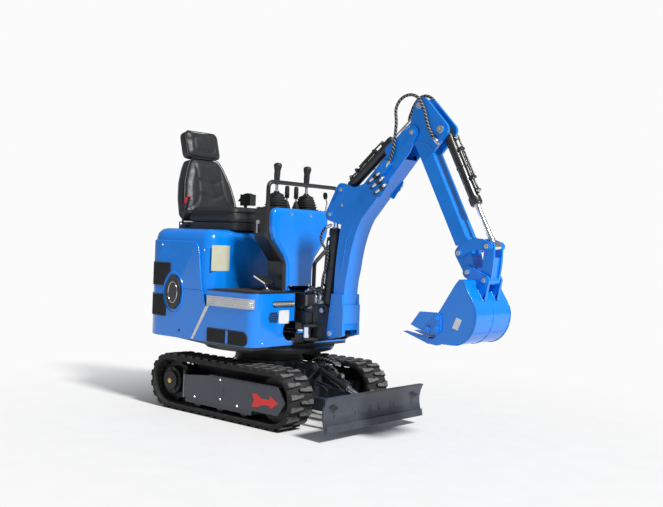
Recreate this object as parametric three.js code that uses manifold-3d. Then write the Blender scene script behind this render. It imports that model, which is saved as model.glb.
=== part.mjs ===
// One-tonne tracked excavator: open operator's seat, dozer blade, swing boom, arm and bucket.
// Millimetres, +Z up, +X towards the blade, +Y to the operator's left.
// Everything is laid out from the slew axis on the ground, then moved so that the
// origin lies under the middle of the machine's length.
import * as THREE from "three";
import { ConvexGeometry } from "three/addons/geometries/ConvexGeometry.js";
import { mergeVertices } from "three/addons/utils/BufferGeometryUtils.js";
import Module from "manifold-3d";

const wasm = await Module();
wasm.setup();

// ---------------------------------------------------------------- driving dimensions
const FIT = 0.3; // gap between pieces that rest on each other
const RUN = 0.8; // side gap between an eye and the plates that hold it

// undercarriage
const trackLength = 1220;
const trackWide = 860; // over both tracks
const shoeWide = 185;
const trackHigh = 338;
const lugHigh = 14;
const bandThick = 24;
const lugCount = 40;
const frameTop = 246; // top of a side frame
const framePlate = 12;
const rollerRadius = 38;
const carbodyTop = 335;
const ringRadius = 205;

// blade
const bladeWide = 860;
const bladeHigh = 182;
const bladeThick = 10;
const bladeFront = 869; // x of the cutting edge
const bladeClear = 52; // cutting edge above the ground
const bladeBow = 24; // how far the face is hollowed
const bladeArmGap = 140; // half the gap between the push arms
const bladeArmThick = 30;

// house
const plateBottom = 400; // underside of the slew frame
const plateThick = 40;
const houseHalf = 430; // half the house's width
const tailRadius = 778; // from the slew axis to the tail
const tailCorner = 170; // radius of the tail's corners in plan
const coverThick = 11;
const wall = 6;
const hoodTop = 1106;
const hoodFront = -110; // x of the seat box's front face
const coverTop = 1032;
const hoodRound = 66; // radius of the hood's top edge
const capCentre = [-414, 714]; // filler cap in the right tail cover
const capHigh = 108; // half height and half width of the oval cap
const capWide = 74;
const floorTop = 751;
const floorThick = 6;
const noseFront = 290; // x of the house's front face
const cornerRadius = 62;
const bayHalf = 92; // half the width of the open bay around the swing post
const swingAxisX = 340;
const swingRadius = 56;
const swingLow = 571; // underside of the swing boss
const swingHigh = 640;
const swingPort = [-126, -104]; // centres of the round ends of the swing cylinder's opening
const swingPortRadius = 58;

// seat
const seatHalf = 228;
const seatFront = -118;
const seatBack = -538; // x where cushion and backrest meet
const panThick = 46;
const cushionThick = 96;
const backThick = 104;
const backHigh = 418;
const backTopHalf = 135; // half width at the backrest's shoulders
const backLean = 15; // degrees
const headHigh = 188;
const headHalf = 142;
const headThick = 86;

// console and controls
const consoleHalf = 245;
const consoleFootHalf = 115;
const consoleTop = 1236;
const consoleShoulder = 1075; // where the sides start to lean in
const consoleWaist = 928; // where they reach the foot's width
const consoleRear = 76;
const consoleFront = 204;
const consoleBulge = 34;
const railRadius = 12.5;
const railX = 229;
const railRight = 285; // the rail reaches further out on the left
const railLeft = 330;
const railTop = 1392;
const stickX = 143;
const stickHalf = 130;
const stickTop = 1514;
const travelHalf = 40;
const travelTop = 1385;
const deckThick = 10;

// working equipment: pins in the x-z plane of the boom
const pinFoot = [562, 533];
const pinBoomLow = [470, 656];
const pinBoomHigh = [514, 1214];
const pinArmBase = [589, 1355];
const pinTip = [1073, 1656];
const pinArmEar = [1107, 1798];
const pinBucketBase = [1250, 1662];
const pinIdler = [1399, 1022];
const pinLink = [1565, 1062];
const pinBucket = [1457, 927];
const pinTipping = [1554, 890];
const pinBladeArm = [345, 150];
const pinBladeBase = [415, 319];
const pinBladeEye = [800, 160];
const swingAnchor = [-180, -120]; // plan view: rear pin of the swing cylinder
const swingEye = [395, -97]; // plan view: its rod's eye on the swing post
const swingLevel = 526; // height of the swing cylinder

const boomHalf = 60;
const boomPlate = 8;
const footHalf = 77;
const forkPlate = 12;
const armHalf = 50;
const armPlate = 8;
const postHalf = 52;
const eyeHalf = 31; // half the width of a cylinder's eye
const linkPlate = 14;
const linkTie = [101, 25]; // from the idler's pin to the tube that ties its plates
const bucketHalf = 165;
const bucketWall = 8;
const toothCount = 4;
const toothReach = 200;
const toothWide = 42;

// cylinders: radii of barrel, rod and eye, length of the barrel from its pin, and how far
// the rod still goes in from rest
const boomCylinder = { barrel: 31, rod: 16, length: 480, eye: 27, inward: 20 };
const armCylinder = { barrel: 29, rod: 15, length: 415, eye: 26, inward: 151 };
const bucketCylinder = { barrel: 27, rod: 14, length: 440, eye: 25, inward: 138 };
const bladeCylinder = { barrel: 27, rod: 14, length: 250, eye: 25, inward: 55 };
const swingCylinder = { barrel: 25, rod: 13, length: 360, eye: 22, inward: 77 };

// row origin: halfway between the tail and the back of the bucket
const bucketBack = 1585;
const originX = (bucketBack - tailRadius) / 2;

const TURN = 2 * Math.PI;
const ARC_STEP = Math.PI / 7; // coarsest step on a small boss

// ---------------------------------------------------------------- materials
const paint = (colour, roughness, metalness) =>
  new THREE.MeshStandardMaterial({ color: colour, roughness, metalness });
const BLUE = paint(0x1c7fe0, 0.32, 0.15);
const DARK = paint(0x454c57, 0.5, 0.3);
const BLACK = paint(0x17181a, 0.5, 0.2);
const RUBBER = paint(0x1d1d1e, 0.85, 0);
const VINYL = paint(0x1a1b1e, 0.55, 0);
const STEEL = paint(0xc4c8cc, 0.25, 0.9);

// ---------------------------------------------------------------- solids
const model = new THREE.Group();

function solid(geometry) {
  const bare = geometry.index ? geometry.toNonIndexed() : geometry.clone();
  bare.deleteAttribute("normal");
  bare.deleteAttribute("uv");
  const merged = mergeVertices(bare, 1e-3);
  return new wasm.Manifold(
    new wasm.Mesh({
      numProp: 3,
      vertProperties: new Float32Array(merged.attributes.position.array),
      triVerts: new Uint32Array(merged.index.array),
    }),
  );
}

const join = (...parts) => parts.reduce((a, b) => a.add(b));
const cut = (body, ...tools) => tools.reduce((a, b) => a.subtract(b), body);

function put(name, shape, material) {
  const data = shape.getMesh();
  const geometry = new THREE.BufferGeometry();
  geometry.setAttribute("position", new THREE.BufferAttribute(data.vertProperties, 3));
  geometry.setIndex(new THREE.BufferAttribute(data.triVerts, 1));
  geometry.computeVertexNormals();
  const mesh = new THREE.Mesh(geometry, material);
  mesh.name = name;
  model.add(mesh);
}

function box(x0, x1, y0, y1, z0, z1) {
  const g = new THREE.BoxGeometry(x1 - x0, y1 - y0, z1 - z0);
  g.translate((x0 + x1) / 2, (y0 + y1) / 2, (z0 + z1) / 2);
  return solid(g);
}

// A bar of round section from point a to point b, with its radius at each end.
function bar(a, b, radius, endRadius = radius, sides = 14) {
  const from = new THREE.Vector3(...a);
  const to = new THREE.Vector3(...b);
  const axis = to.clone().sub(from);
  const g = new THREE.CylinderGeometry(endRadius, radius, axis.length(), sides);
  const turn = new THREE.Quaternion();
  turn.setFromUnitVectors(new THREE.Vector3(0, 1, 0), axis.normalize());
  g.applyQuaternion(turn);
  g.translate(...from.add(to).multiplyScalar(0.5).toArray());
  return solid(g);
}

const outline = (points) => new THREE.Shape(points.map(([a, b]) => new THREE.Vector2(a, b)));

// The points of a closed path, without those that fall on their neighbour.
function distinct(path, divisions = 5) {
  const points = path.getPoints(divisions);
  return points.filter((p, i) => p.distanceTo(points[(i + points.length - 1) % points.length]) > 0.01);
}

function extrude(shape, depth, options = {}) {
  const clean = new THREE.Shape(distinct(shape));
  clean.holes = shape.holes.map((hole) => new THREE.Path(distinct(hole, 9)));
  return new THREE.ExtrudeGeometry(clean, { depth, bevelEnabled: false, ...options });
}

// An outline in x and z, as thick as y0 to y1.
function side(shape, y0, y1) {
  const g = extrude(shape, y1 - y0);
  g.rotateX(Math.PI / 2);
  g.translate(0, y1, 0);
  return solid(g);
}

// An outline in x and y, as high as z0 to z1.
function plan(shape, z0, z1) {
  const g = extrude(shape, z1 - z0);
  g.translate(0, 0, z0);
  return solid(g);
}

// An outline in y and z, as deep as x0 to x1.
function front(shape, x0, x1) {
  const g = extrude(shape, x1 - x0);
  const across = new THREE.Vector3(0, 1, 0);
  const up = new THREE.Vector3(0, 0, 1);
  const ahead = new THREE.Vector3(1, 0, 0);
  g.applyMatrix4(new THREE.Matrix4().makeBasis(across, up, ahead));
  g.translate(x0, 0, 0);
  return solid(g);
}

// The same plate on both sides of the middle plane, from |y| = inner to |y| = outer.
const pair = (shape, inner, outer) => join(side(shape, inner, outer), side(shape, -outer, -inner));

// A solid on the right side, mirrored to the left.
const mirrored = (shape) => shape.mirror([0, 1, 0]);

// The outline around a chain of round bosses [x, z, radius], joined by straight tangents.
// The chain runs anticlockwise; a boss of no radius is a plain corner.
function bossOutline(bosses) {
  const count = bosses.length;
  const normals = bosses.map(([x, z, r], i) => {
    const [nx, nz, nr] = bosses[(i + 1) % count];
    const lean = Math.asin((r - nr) / Math.hypot(nx - x, nz - z));
    return Math.atan2(nz - z, nx - x) - Math.PI / 2 + lean;
  });
  const points = [];
  bosses.forEach(([x, z, r], i) => {
    const start = normals[(i + count - 1) % count];
    const turn = (((normals[i] - start) % TURN) + TURN) % TURN;
    const steps = r > 0 ? Math.max(1, Math.ceil(turn / ARC_STEP)) : 0;
    for (let k = 0; k <= steps; k += 1) {
      const a = start + (steps ? (turn * k) / steps : 0);
      points.push([x + r * Math.cos(a), z + r * Math.sin(a)]);
    }
  });
  return outline(points);
}

// A disc of radius r with its axis across the machine.
const disc = ([x, z], r, y0, y1, sides = 16) => bar([x, y0, z], [x, y1, z], r, r, sides);

// Pin heads that stand out on both sides of a fork whose half width is given.
const pinHeads = (pin, radius, half, stand = 7) =>
  join(disc(pin, radius, half - 1, half + stand, 12), disc(pin, radius, -half - stand, 1 - half, 12));

// ---------------------------------------------------------------- undercarriage
const soleY = trackWide / 2;
const innerY = soleY - shoeWide;
const bend = trackHigh / 2;
const hubX = trackLength / 2 - bend;

// A point on the track's loop, at arc length s and the given depth below the outside.
function loopPoint(s, depth) {
  const straight = 2 * hubX;
  const half = Math.PI * bend;
  const r = bend - depth;
  const round = 2 * (straight + half);
  const along = ((s % round) + round) % round;
  if (along < straight) return [-hubX + along, depth];
  if (along < straight + half) {
    const a = -Math.PI / 2 + (along - straight) / bend;
    return [hubX + r * Math.cos(a), bend + r * Math.sin(a)];
  }
  if (along < 2 * straight + half) return [hubX - (along - straight - half), trackHigh - depth];
  const a = Math.PI / 2 + (along - 2 * straight - half) / bend;
  return [-hubX + r * Math.cos(a), bend + r * Math.sin(a)];
}

function trackLoop(y0, y1) {
  const round = 2 * (2 * hubX + Math.PI * bend);
  const pitch = round / lugCount;
  const outer = [];
  for (let i = 0; i < lugCount; i += 1) {
    const steps = [
      [0.0, lugHigh],
      [0.1, 0],
      [0.45, 0],
      [0.55, lugHigh],
    ];
    steps.forEach(([share, depth]) => outer.push(loopPoint((i + share) * pitch, depth)));
  }
  const shape = outline(outer);
  const depth = lugHigh + bandThick;
  const hole = new THREE.Path();
  hole.absarc(hubX, bend, bend - depth, Math.PI / 2, -Math.PI / 2, true);
  hole.absarc(-hubX, bend, bend - depth, -Math.PI / 2, -1.5 * Math.PI, true);
  shape.holes.push(hole);
  return side(shape, y0, y1);
}

const wheelRadius = bend - lugHigh - bandThick - 1.2;
const hubZ = bend;

function sprocket() {
  const teeth = 11;
  const points = [];
  for (let i = 0; i < teeth; i += 1) {
    [
      [0, wheelRadius - 14],
      [0.25, wheelRadius],
      [0.5, wheelRadius],
      [0.75, wheelRadius - 14],
    ].forEach(([share, r]) => {
      const a = ((i + share) / teeth) * 2 * Math.PI;
      points.push([-hubX + r * Math.cos(a), hubZ + r * Math.sin(a)]);
    });
  }
  const disk = side(outline(points), -soleY + 72, -soleY + 112);
  const motor = disc([-hubX, hubZ], 82, -soleY + 36, -innerY - 30, 28);
  const cap = disc([-hubX, hubZ], 58, -soleY + 20, -soleY + 40, 28);
  return join(disk, motor, cap);
}

function idler() {
  const tyre = disc([hubX, hubZ], wheelRadius, -soleY + 60, -soleY + 125, 36);
  const hub = disc([hubX, hubZ], 46, -soleY + 14 + FIT, -innerY - 45 - FIT, 24);
  return join(tyre, hub);
}

function sideFrame() {
  const nose = hubX + 118;
  const plate = outline([
    [-285, 92],
    [nose - 54, 92],
    [nose, hubZ],
    [nose - 54, frameTop],
    [-60, frameTop],
    [-285, frameTop - 22],
  ]);
  const cover = side(plate, -soleY + 14 - framePlate, -soleY + 14);
  const beam = box(-285, 290, -soleY + 13, -innerY - 30, 62, frameTop - 26);
  const web = box(285, hubX + 60, -innerY - 45, -innerY - 30, 92, frameTop - 26);
  const mount = box(-hubX - 60, -280, -innerY - 29.5, -innerY - 8, 100, 232);
  const bridge = box(-290, -240, -innerY - 40, -innerY - 8, 100, 220);
  const boss = disc([-hubX, hubZ], 92, -innerY - 29.5, -innerY - 8, 24);
  const rollers = [-200, 0, 200].map((x) =>
    disc([x, lugHigh + bandThick + FIT + rollerRadius], rollerRadius, -soleY + 40, -innerY - 40, 20),
  );
  return join(cover, beam, web, mount, bridge, boss, ...rollers);
}

const beamInner = innerY + 30;

function carbody() {
  const drum = bar([0, 0, 120], [0, 0, carbodyTop], 232, ringRadius + 6, 32);
  const beams = [-176, 150].map((x) =>
    box(x - 62, x + 62, -beamInner + FIT, beamInner - FIT, 118, 236),
  );
  const nose = box(180, 352, -58, 58, 160, 300);
  const shelf = box(200, 318, -bladeArmGap - 50, bladeArmGap + 50, 122, 180);
  const lug = bossOutline([
    [230, 100, 0],
    [pinBladeArm[0], pinBladeArm[1], 32],
    [230, 205, 0],
  ]);
  const inner = bladeArmGap - RUN;
  const outer = bladeArmGap + bladeArmThick + RUN;
  const lugs = join(pair(lug, inner - 18, inner), pair(lug, outer, outer + 18));
  const ear = bossOutline([
    [300, 180, 0],
    [pinBladeBase[0], pinBladeBase[1], 27],
    [300, 330, 0],
  ]);
  const ears = pair(ear, eyeHalf + RUN, eyeHalf + RUN + 16);
  const heads = join(
    pinHeads(pinBladeArm, 17, outer + 18),
    pinHeads(pinBladeBase, 15, eyeHalf + RUN + 16),
  );
  return join(drum, ...beams, nose, shelf, lugs, ears, heads);
}

put("carbody", carbody(), DARK);
const ring = bar([0, 0, carbodyTop + FIT], [0, 0, plateBottom - FIT], ringRadius, ringRadius, 48);
put("slew_ring", ring, STEEL);
const rightSet = {
  track: [trackLoop(-soleY, -innerY), RUBBER],
  side_frame: [sideFrame(), DARK],
  sprocket: [sprocket(), DARK],
  idler: [idler(), DARK],
};
Object.entries(rightSet).forEach(([name, [shape, material]]) => {
  put(`${name}_right`, shape, material);
  put(`${name}_left`, mirrored(shape), material);
});

// ---------------------------------------------------------------- dozer blade
function dozerBlade() {
  const top = bladeClear + bladeHigh;
  const face = new THREE.Shape();
  face.moveTo(bladeFront, bladeClear);
  face.quadraticCurveTo(bladeFront - 5 - 2 * bladeBow, bladeClear + 0.5 * bladeHigh, bladeFront - 5, top);
  face.lineTo(bladeFront - 5 - bladeThick - 8, top);
  face.lineTo(bladeFront - 5 - bladeThick - 8, top - 10);
  face.quadraticCurveTo(
    bladeFront - 5 - bladeThick - 2 * bladeBow,
    bladeClear + 0.5 * bladeHigh,
    bladeFront - bladeThick - 4,
    bladeClear,
  );
  const board = side(face, -bladeWide / 2, bladeWide / 2);
  const [ax, az] = pinBladeArm;
  const backX = bladeFront - 26;
  const arm = bossOutline([
    [ax, az, 26],
    [backX, 92, 0],
    [backX, 176, 0],
  ]);
  const arms = pair(arm, bladeArmGap, bladeArmGap + bladeArmThick);
  const [ex, ez] = pinBladeEye;
  const tie = box(690, 730, -bladeArmGap - 2, bladeArmGap + 2, 104, 134);
  const ear = bossOutline([
    [ex, ez, 26],
    [backX, 100, 0],
    [backX, 200, 0],
  ]);
  const ears = pair(ear, eyeHalf + RUN, eyeHalf + RUN + 14);
  const rib = outline([
    [backX - 30, 62],
    [backX, 62],
    [backX, 205],
  ]);
  const ribs = pair(rib, bladeWide / 2 - 90, bladeWide / 2 - 78);
  return join(board, arms, tie, ears, ribs, pinHeads(pinBladeEye, 14, eyeHalf + RUN + 14));
}
put("dozer_blade", dozerBlade(), DARK);

// ---------------------------------------------------------------- cylinders
// Barrel and rod between two pins given as points; "across" is the pins' direction.
function cylinder(from, to, size, across) {
  const a = new THREE.Vector3(...from);
  const b = new THREE.Vector3(...to);
  const way = b.clone().sub(a).normalize();
  const at = (s) => a.clone().addScaledVector(way, s).toArray();
  const eye = (centre) => {
    const half = new THREE.Vector3(...across).multiplyScalar(eyeHalf);
    const c = new THREE.Vector3(...centre);
    return bar(c.clone().sub(half).toArray(), c.clone().add(half).toArray(), size.eye, size.eye, 16);
  };
  const span = a.distanceTo(b);
  const gland = 26;
  const barrel = join(
    eye(from),
    bar(at(0), at(size.eye + 14), size.eye * 0.72, size.barrel * 0.8, 12),
    bar(at(size.eye + 8), at(size.length - gland), size.barrel, size.barrel, 16),
    bar(at(size.length - gland - 2), at(size.length), size.barrel + 4, size.barrel + 4, 16),
  );
  const bottom = size.eye + 30;
  const bore = bar(at(bottom), at(size.length + 4), size.rod + 1, size.rod + 1, 12);
  const start = bottom + size.inward + 2;
  const rod = join(
    bar(at(start), at(span - size.eye + 6), size.rod, size.rod, 12),
    eye(to),
    bar(at(span - size.eye - 22), at(span), size.rod * 1.25, size.rod * 1.25, 12),
  );
  return { barrel: cut(barrel, bore), rod };
}

const inPlane = ([x, z]) => [x, 0, z];
const ACROSS = [0, 1, 0];
const UP = [0, 0, 1];
const cylinders = {
  boom: cylinder(inPlane(pinBoomLow), inPlane(pinBoomHigh), boomCylinder, ACROSS),
  arm: cylinder(inPlane(pinArmBase), inPlane(pinArmEar), armCylinder, ACROSS),
  bucket: cylinder(inPlane(pinBucketBase), inPlane(pinLink), bucketCylinder, ACROSS),
  blade: cylinder(inPlane(pinBladeBase), inPlane(pinBladeEye), bladeCylinder, ACROSS),
  swing: cylinder([...swingAnchor, swingLevel], [...swingEye, swingLevel], swingCylinder, UP),
};
Object.entries(cylinders).forEach(([name, { barrel, rod }]) => {
  put(`${name}_cylinder_barrel`, barrel, BLACK);
  put(`${name}_cylinder_rod`, rod, STEEL);
});

// ---------------------------------------------------------------- house
const plateTop = plateBottom + plateThick;

// The tail's plan outline at a distance inside the outer skin, closed at x = frontX.
function tailOutline(inset, frontX, frontRound = 0) {
  const half = houseHalf - inset;
  const radius = tailRadius - inset;
  const corner = tailCorner - inset;
  const swing = Math.asin((half - corner) / (radius - corner));
  const cx = -(radius - corner) * Math.cos(swing);
  const shape = new THREE.Shape();
  if (frontRound > 0) {
    shape.absarc(frontX - frontRound, frontRound - half, frontRound, -Math.PI / 2, 0, false);
    shape.absarc(frontX - frontRound, half - frontRound, frontRound, 0, Math.PI / 2, false);
  } else {
    shape.moveTo(frontX, -half);
    shape.lineTo(frontX, half);
  }
  shape.lineTo(cx, half);
  shape.absarc(cx, half - corner, corner, Math.PI / 2, Math.PI - swing, false);
  shape.absarc(0, 0, radius, Math.PI - swing, Math.PI + swing, false);
  shape.absarc(cx, corner - half, corner, Math.PI + swing, 1.5 * Math.PI, false);
  shape.closePath();
  return shape;
}

// A convex plan outline raised from z0 to z1 with a rounded top edge; "shapeAt" gives the
// outline at a distance inside the full one.
function crowned(shapeAt, z0, z1, round) {
  const steps = 3;
  const points = [];
  const layer = (inset, z) => {
    distinct(shapeAt(inset)).forEach(({ x, y }) => points.push(new THREE.Vector3(x, y, z)));
  };
  layer(0, z0);
  for (let i = 0; i <= steps; i += 1) {
    const turn = (i / steps) * (Math.PI / 2);
    layer(round * (1 - Math.cos(turn)), z1 - round * (1 - Math.sin(turn)));
  }
  return solid(new ConvexGeometry(points));
}

function engineHood() {
  const start = coverThick + FIT;
  const skin = (inset) => tailOutline(start + inset, hoodFront - inset, hoodRound + 4 - inset);
  const lining = (inset) =>
    tailOutline(start + wall + inset, hoodFront - wall - inset, hoodRound + 4 - wall - inset);
  return cut(
    crowned(skin, plateTop + FIT, hoodTop, hoodRound),
    crowned(lining, plateTop - 10, hoodTop - wall, hoodRound - wall),
    box(hoodFront - wall - 2, hoodFront + 2, -200, 200, plateTop - 10, floorTop - 60),
  );
}

// One half of the wrap-around tail cover; the front edge leans back below the floor.
function tailCover() {
  const outside = (inset) => tailOutline(inset, hoodFront);
  const ring = cut(
    crowned(outside, plateTop, coverTop, coverThick - 1),
    plan(tailOutline(coverThick, hoodFront + 10), plateTop - 10, coverTop + 10),
  );
  const keep = side(
    outline([
      [-tailRadius - 10, plateTop - 5],
      [-236, plateTop - 5],
      [-112, floorTop - 110],
      [-158, floorTop],
      [-196, coverTop - 40],
      [-216, coverTop - 12],
      [-246, coverTop + 5],
      [-tailRadius - 10, coverTop + 5],
    ]),
    -houseHalf - 20,
    -8,
  );
  return ring.intersect(keep);
}

function sideSkirt() {
  const half = houseHalf;
  const band = new THREE.Shape();
  band.moveTo(-240, -half);
  band.lineTo(noseFront - cornerRadius, -half);
  band.absarc(noseFront - cornerRadius, cornerRadius - half, cornerRadius, -Math.PI / 2, 0, false);
  band.lineTo(noseFront, -bayHalf);
  band.lineTo(noseFront - coverThick, -bayHalf);
  band.lineTo(noseFront - coverThick, cornerRadius - half);
  band.absarc(noseFront - cornerRadius, cornerRadius - half, cornerRadius - coverThick, 0, -Math.PI / 2, true);
  band.lineTo(-240, coverThick - half);
  band.closePath();
  const strip = plan(band, plateTop, floorTop - floorThick - FIT);
  const clear = 3;
  const rear = side(
    outline([
      [-300, plateTop - 5],
      [-236 + clear, plateTop - 5],
      [-112 + clear, floorTop - 110],
      [-112 + clear, floorTop + 5],
      [-300, floorTop + 5],
    ]),
    -half - 20,
    -half + 60,
  );
  const r = swingPortRadius;
  const hole = (y) => bar([noseFront - 40, y, swingLevel], [noseFront + 10, y, swingLevel], r, r, 24);
  const porthole = join(...swingPort.map(hole));
  return cut(strip, rear, porthole);
}

function slewFrame() {
  const disk = bar([0, 0, plateBottom], [0, 0, plateTop - 16], 392, 404, 40);
  const table = plan(
    outline([
      [-600, -300],
      [-120, -412],
      [268, -412],
      [noseFront - 14, -300],
      [noseFront - 14, 300],
      [268, 412],
      [-120, 412],
      [-600, 300],
    ]),
    plateTop - 18,
    plateTop - FIT,
  );
  const bulkhead = box(150, 190, -210, 210, plateTop - 1, floorTop - floorThick - FIT);
  const cheek = outline([
    [150, plateTop - 1],
    [swingAxisX - 34, plateTop - 1],
    [swingAxisX - 10, swingLow + 6],
    [swingAxisX, swingHigh + 104],
    [150, swingHigh + 104],
  ]);
  const under = swingRadius + 20;
  const windowLow = box(240, swingAxisX + 60, -under, under, plateTop - 2, swingLow);
  const nose = cut(side(cheek, -swingRadius, swingRadius), windowLow);
  const boss = bar([swingAxisX, 0, swingLow], [swingAxisX, 0, swingHigh], swingRadius, swingRadius, 28);
  const headroom = box(262, swingAxisX + 60, -swingRadius - 1, swingRadius + 1, swingHigh, swingHigh + 28);
  const anchorX = swingAnchor[0];
  const anchorY = swingAnchor[1];
  const shelf = (z0, z1) => box(anchorX - 40, anchorX + 30, anchorY - 34, anchorY + 34, z0, z1);
  const web = box(anchorX - 52, anchorX - 34, anchorY - 34, anchorY + 34, plateTop - 1, swingLevel + 60);
  const gap = eyeHalf + RUN;
  const anchor = join(
    shelf(swingLevel - gap - 14, swingLevel - gap),
    shelf(swingLevel + gap, swingLevel + gap + 14),
    web,
  );
  const path = box(100, 245, anchorY - 62, anchorY + 92, swingLevel - 50, swingLevel + 50);
  return join(cut(join(cut(nose, headroom), boss, disk, table, bulkhead), path), anchor);
}

const engineBlock = box(-640, -250, -230, 230, plateTop + FIT, 800);

function floorPlate() {
  const half = houseHalf - 1;
  const shape = new THREE.Shape();
  shape.moveTo(hoodFront + FIT, -half);
  shape.lineTo(noseFront - cornerRadius, -half);
  shape.absarc(noseFront - cornerRadius, cornerRadius - half, cornerRadius, -Math.PI / 2, 0, false);
  shape.absarc(noseFront - cornerRadius, half - cornerRadius, cornerRadius, 0, Math.PI / 2, false);
  shape.lineTo(hoodFront + FIT, half);
  shape.closePath();
  return plan(shape, floorTop - floorThick, floorTop);
}

put("slew_frame", slewFrame(), BLACK);
put("engine", engineBlock, DARK);
put("engine_hood", engineHood(), BLUE);
const cover = tailCover();
put("service_cover", cover, BLUE);
put("tail_cover_left", mirrored(cover), BLUE);
const capOutline = new THREE.Shape();
capOutline.absellipse(...capCentre, capWide, capHigh, 0, TURN, false);
put("cover_cap", side(capOutline, -houseHalf - 7, -houseHalf - FIT), BLACK);
const skirt = sideSkirt();
put("side_skirt_right", skirt, BLUE);
put("side_skirt_left", mirrored(skirt), BLUE);
put("floor_plate", floorPlate(), BLACK);

// ---------------------------------------------------------------- console
const consoleOutline = (inset) =>
  outline([
    [-consoleFootHalf + inset, floorTop + FIT],
    [consoleFootHalf - inset, floorTop + FIT],
    [consoleFootHalf - inset, consoleWaist],
    [consoleHalf - inset, consoleShoulder],
    [consoleHalf - inset, consoleTop - inset],
    [-consoleHalf + inset, consoleTop - inset],
    [-consoleHalf + inset, consoleShoulder],
    [-consoleFootHalf + inset, consoleWaist],
  ]);

// The cover's face stands out in the middle, with a rounded rim.
function consoleCover() {
  const x0 = consoleFront + FIT;
  const steps = [
    [0, 0, 14],
    [5, 14, 24],
    [18, 24, consoleBulge],
  ];
  const layers = steps.map(([inset, from, to]) =>
    front(consoleOutline(inset), x0 + Math.max(0, from - 1), x0 + to),
  );
  return join(...layers);
}

// A bent tube through the given corners, each rounded to the radius given.
function bentTube(corners, bendRadius, radius) {
  const path = new THREE.CurvePath();
  const points = corners.map((c) => new THREE.Vector3(...c));
  let from = points[0];
  for (let i = 1; i < points.length - 1; i += 1) {
    const corner = points[i];
    const back = points[i - 1].clone().sub(corner).normalize();
    const ahead = points[i + 1].clone().sub(corner).normalize();
    const angle = back.angleTo(ahead);
    const reach = bendRadius / Math.tan(angle / 2);
    const enter = corner.clone().addScaledVector(back, reach);
    const leave = corner.clone().addScaledVector(ahead, reach);
    path.add(new THREE.LineCurve3(from, enter));
    path.add(new THREE.QuadraticBezierCurve3(enter, corner, leave));
    from = leave;
  }
  path.add(new THREE.LineCurve3(from, points[points.length - 1]));
  const ring = new THREE.Shape();
  ring.absarc(0, 0, radius, 0, 2 * Math.PI, false);
  return solid(new THREE.ExtrudeGeometry(ring, { steps: 34, extrudePath: path, curveSegments: 5 }));
}

function handrail() {
  const foot = consoleFootHalf + railRadius + 7;
  const leg = (sign, reach) => [
    [railX, sign * reach, railTop],
    [railX, sign * reach, consoleShoulder],
    [railX, sign * foot, consoleWaist - 6],
    [railX, sign * foot, floorTop + FIT],
  ];
  return bentTube([...leg(1, railLeft).reverse(), ...leg(-1, railRight)], 40, railRadius);
}

const deckTop = consoleTop + FIT + deckThick;
const bootHigh = 84;

// A ribbed rubber boot: radius falls from foot to neck over its height.
function boot(x, y, foot, neck, high, ribs) {
  const points = [new THREE.Vector2(0, 0)];
  for (let i = 0; i <= ribs; i += 1) {
    const share = i / ribs;
    const r = foot + (neck - foot) * share;
    points.push(new THREE.Vector2(r, high * share));
    if (i < ribs) points.push(new THREE.Vector2(r - (foot - neck) / ribs - 5, high * (share + 0.5 / ribs)));
  }
  points.push(new THREE.Vector2(0, high));
  const g = new THREE.LatheGeometry(points, 12);
  g.rotateX(Math.PI / 2);
  g.translate(x, y, deckTop - 1);
  return solid(g);
}

function controlDeck() {
  const deck = box(consoleRear, consoleFront, -consoleHalf + 12, consoleHalf - 12, deckTop - deckThick, deckTop);
  const boots = [-1, 1].map((s) => boot(stickX, s * stickHalf, 62, 26, bootHigh, 4));
  const small = [-1, 1].map((s) => boot(stickX, s * travelHalf, 22, 12, 44, 3));
  return join(deck, ...boots, ...small);
}

// A lever that stands on its boot: [height, radius] steps above the boot's neck.
function lever(x, y, from, steps) {
  const points = [new THREE.Vector2(0, 0)];
  steps.forEach(([z, r]) => points.push(new THREE.Vector2(r, z)));
  points.push(new THREE.Vector2(0, steps[steps.length - 1][0]));
  const g = new THREE.LatheGeometry(points, 12);
  g.rotateX(Math.PI / 2);
  g.translate(x, y, from);
  return solid(g);
}

function joystick(sideSign) {
  const foot = deckTop - 1 + bootHigh + FIT;
  const high = stickTop - foot;
  return lever(stickX, sideSign * stickHalf, foot, [
    [0, 11],
    [high - 128, 9],
    [high - 120, 15],
    [high - 62, 19],
    [high - 34, 26],
    [high - 10, 25],
    [high, 14],
  ]);
}

function travelLever(sideSign) {
  const foot = deckTop - 1 + 44 + FIT;
  const high = travelTop - foot;
  return lever(stickX, sideSign * travelHalf, foot, [
    [0, 6],
    [high - 76, 6],
    [high - 70, 14],
    [high - 6, 15],
    [high, 9],
  ]);
}

function bladeLever() {
  const x = stickX + 32;
  const edge = consoleHalf - 12 + FIT;
  const y = edge + 42;
  return join(
    box(x - 14, x + 14, edge, y + 12, deckTop - deckThick + 1, deckTop - 1),
    bar([x, y, deckTop - 2], [x, y, deckTop + 52], 5, 5, 12),
    bar([x, y, deckTop + 50], [x, y - 10, deckTop + 112], 11, 13, 14),
  );
}

function pedal() {
  const y = -consoleFootHalf - 90;
  const foot = box(150, 190, y - 20, y + 20, floorTop + FIT, floorTop + 12);
  const stem = bar([170, y, floorTop + 10], [140, y, floorTop + 62], 6, 6, 12);
  const pad = side(
    outline([
      [96, floorTop + 84],
      [100, floorTop + 92],
      [196, floorTop + 52],
      [192, floorTop + 44],
    ]),
    y - 46,
    y + 46,
  );
  return join(foot, stem, pad);
}

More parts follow.
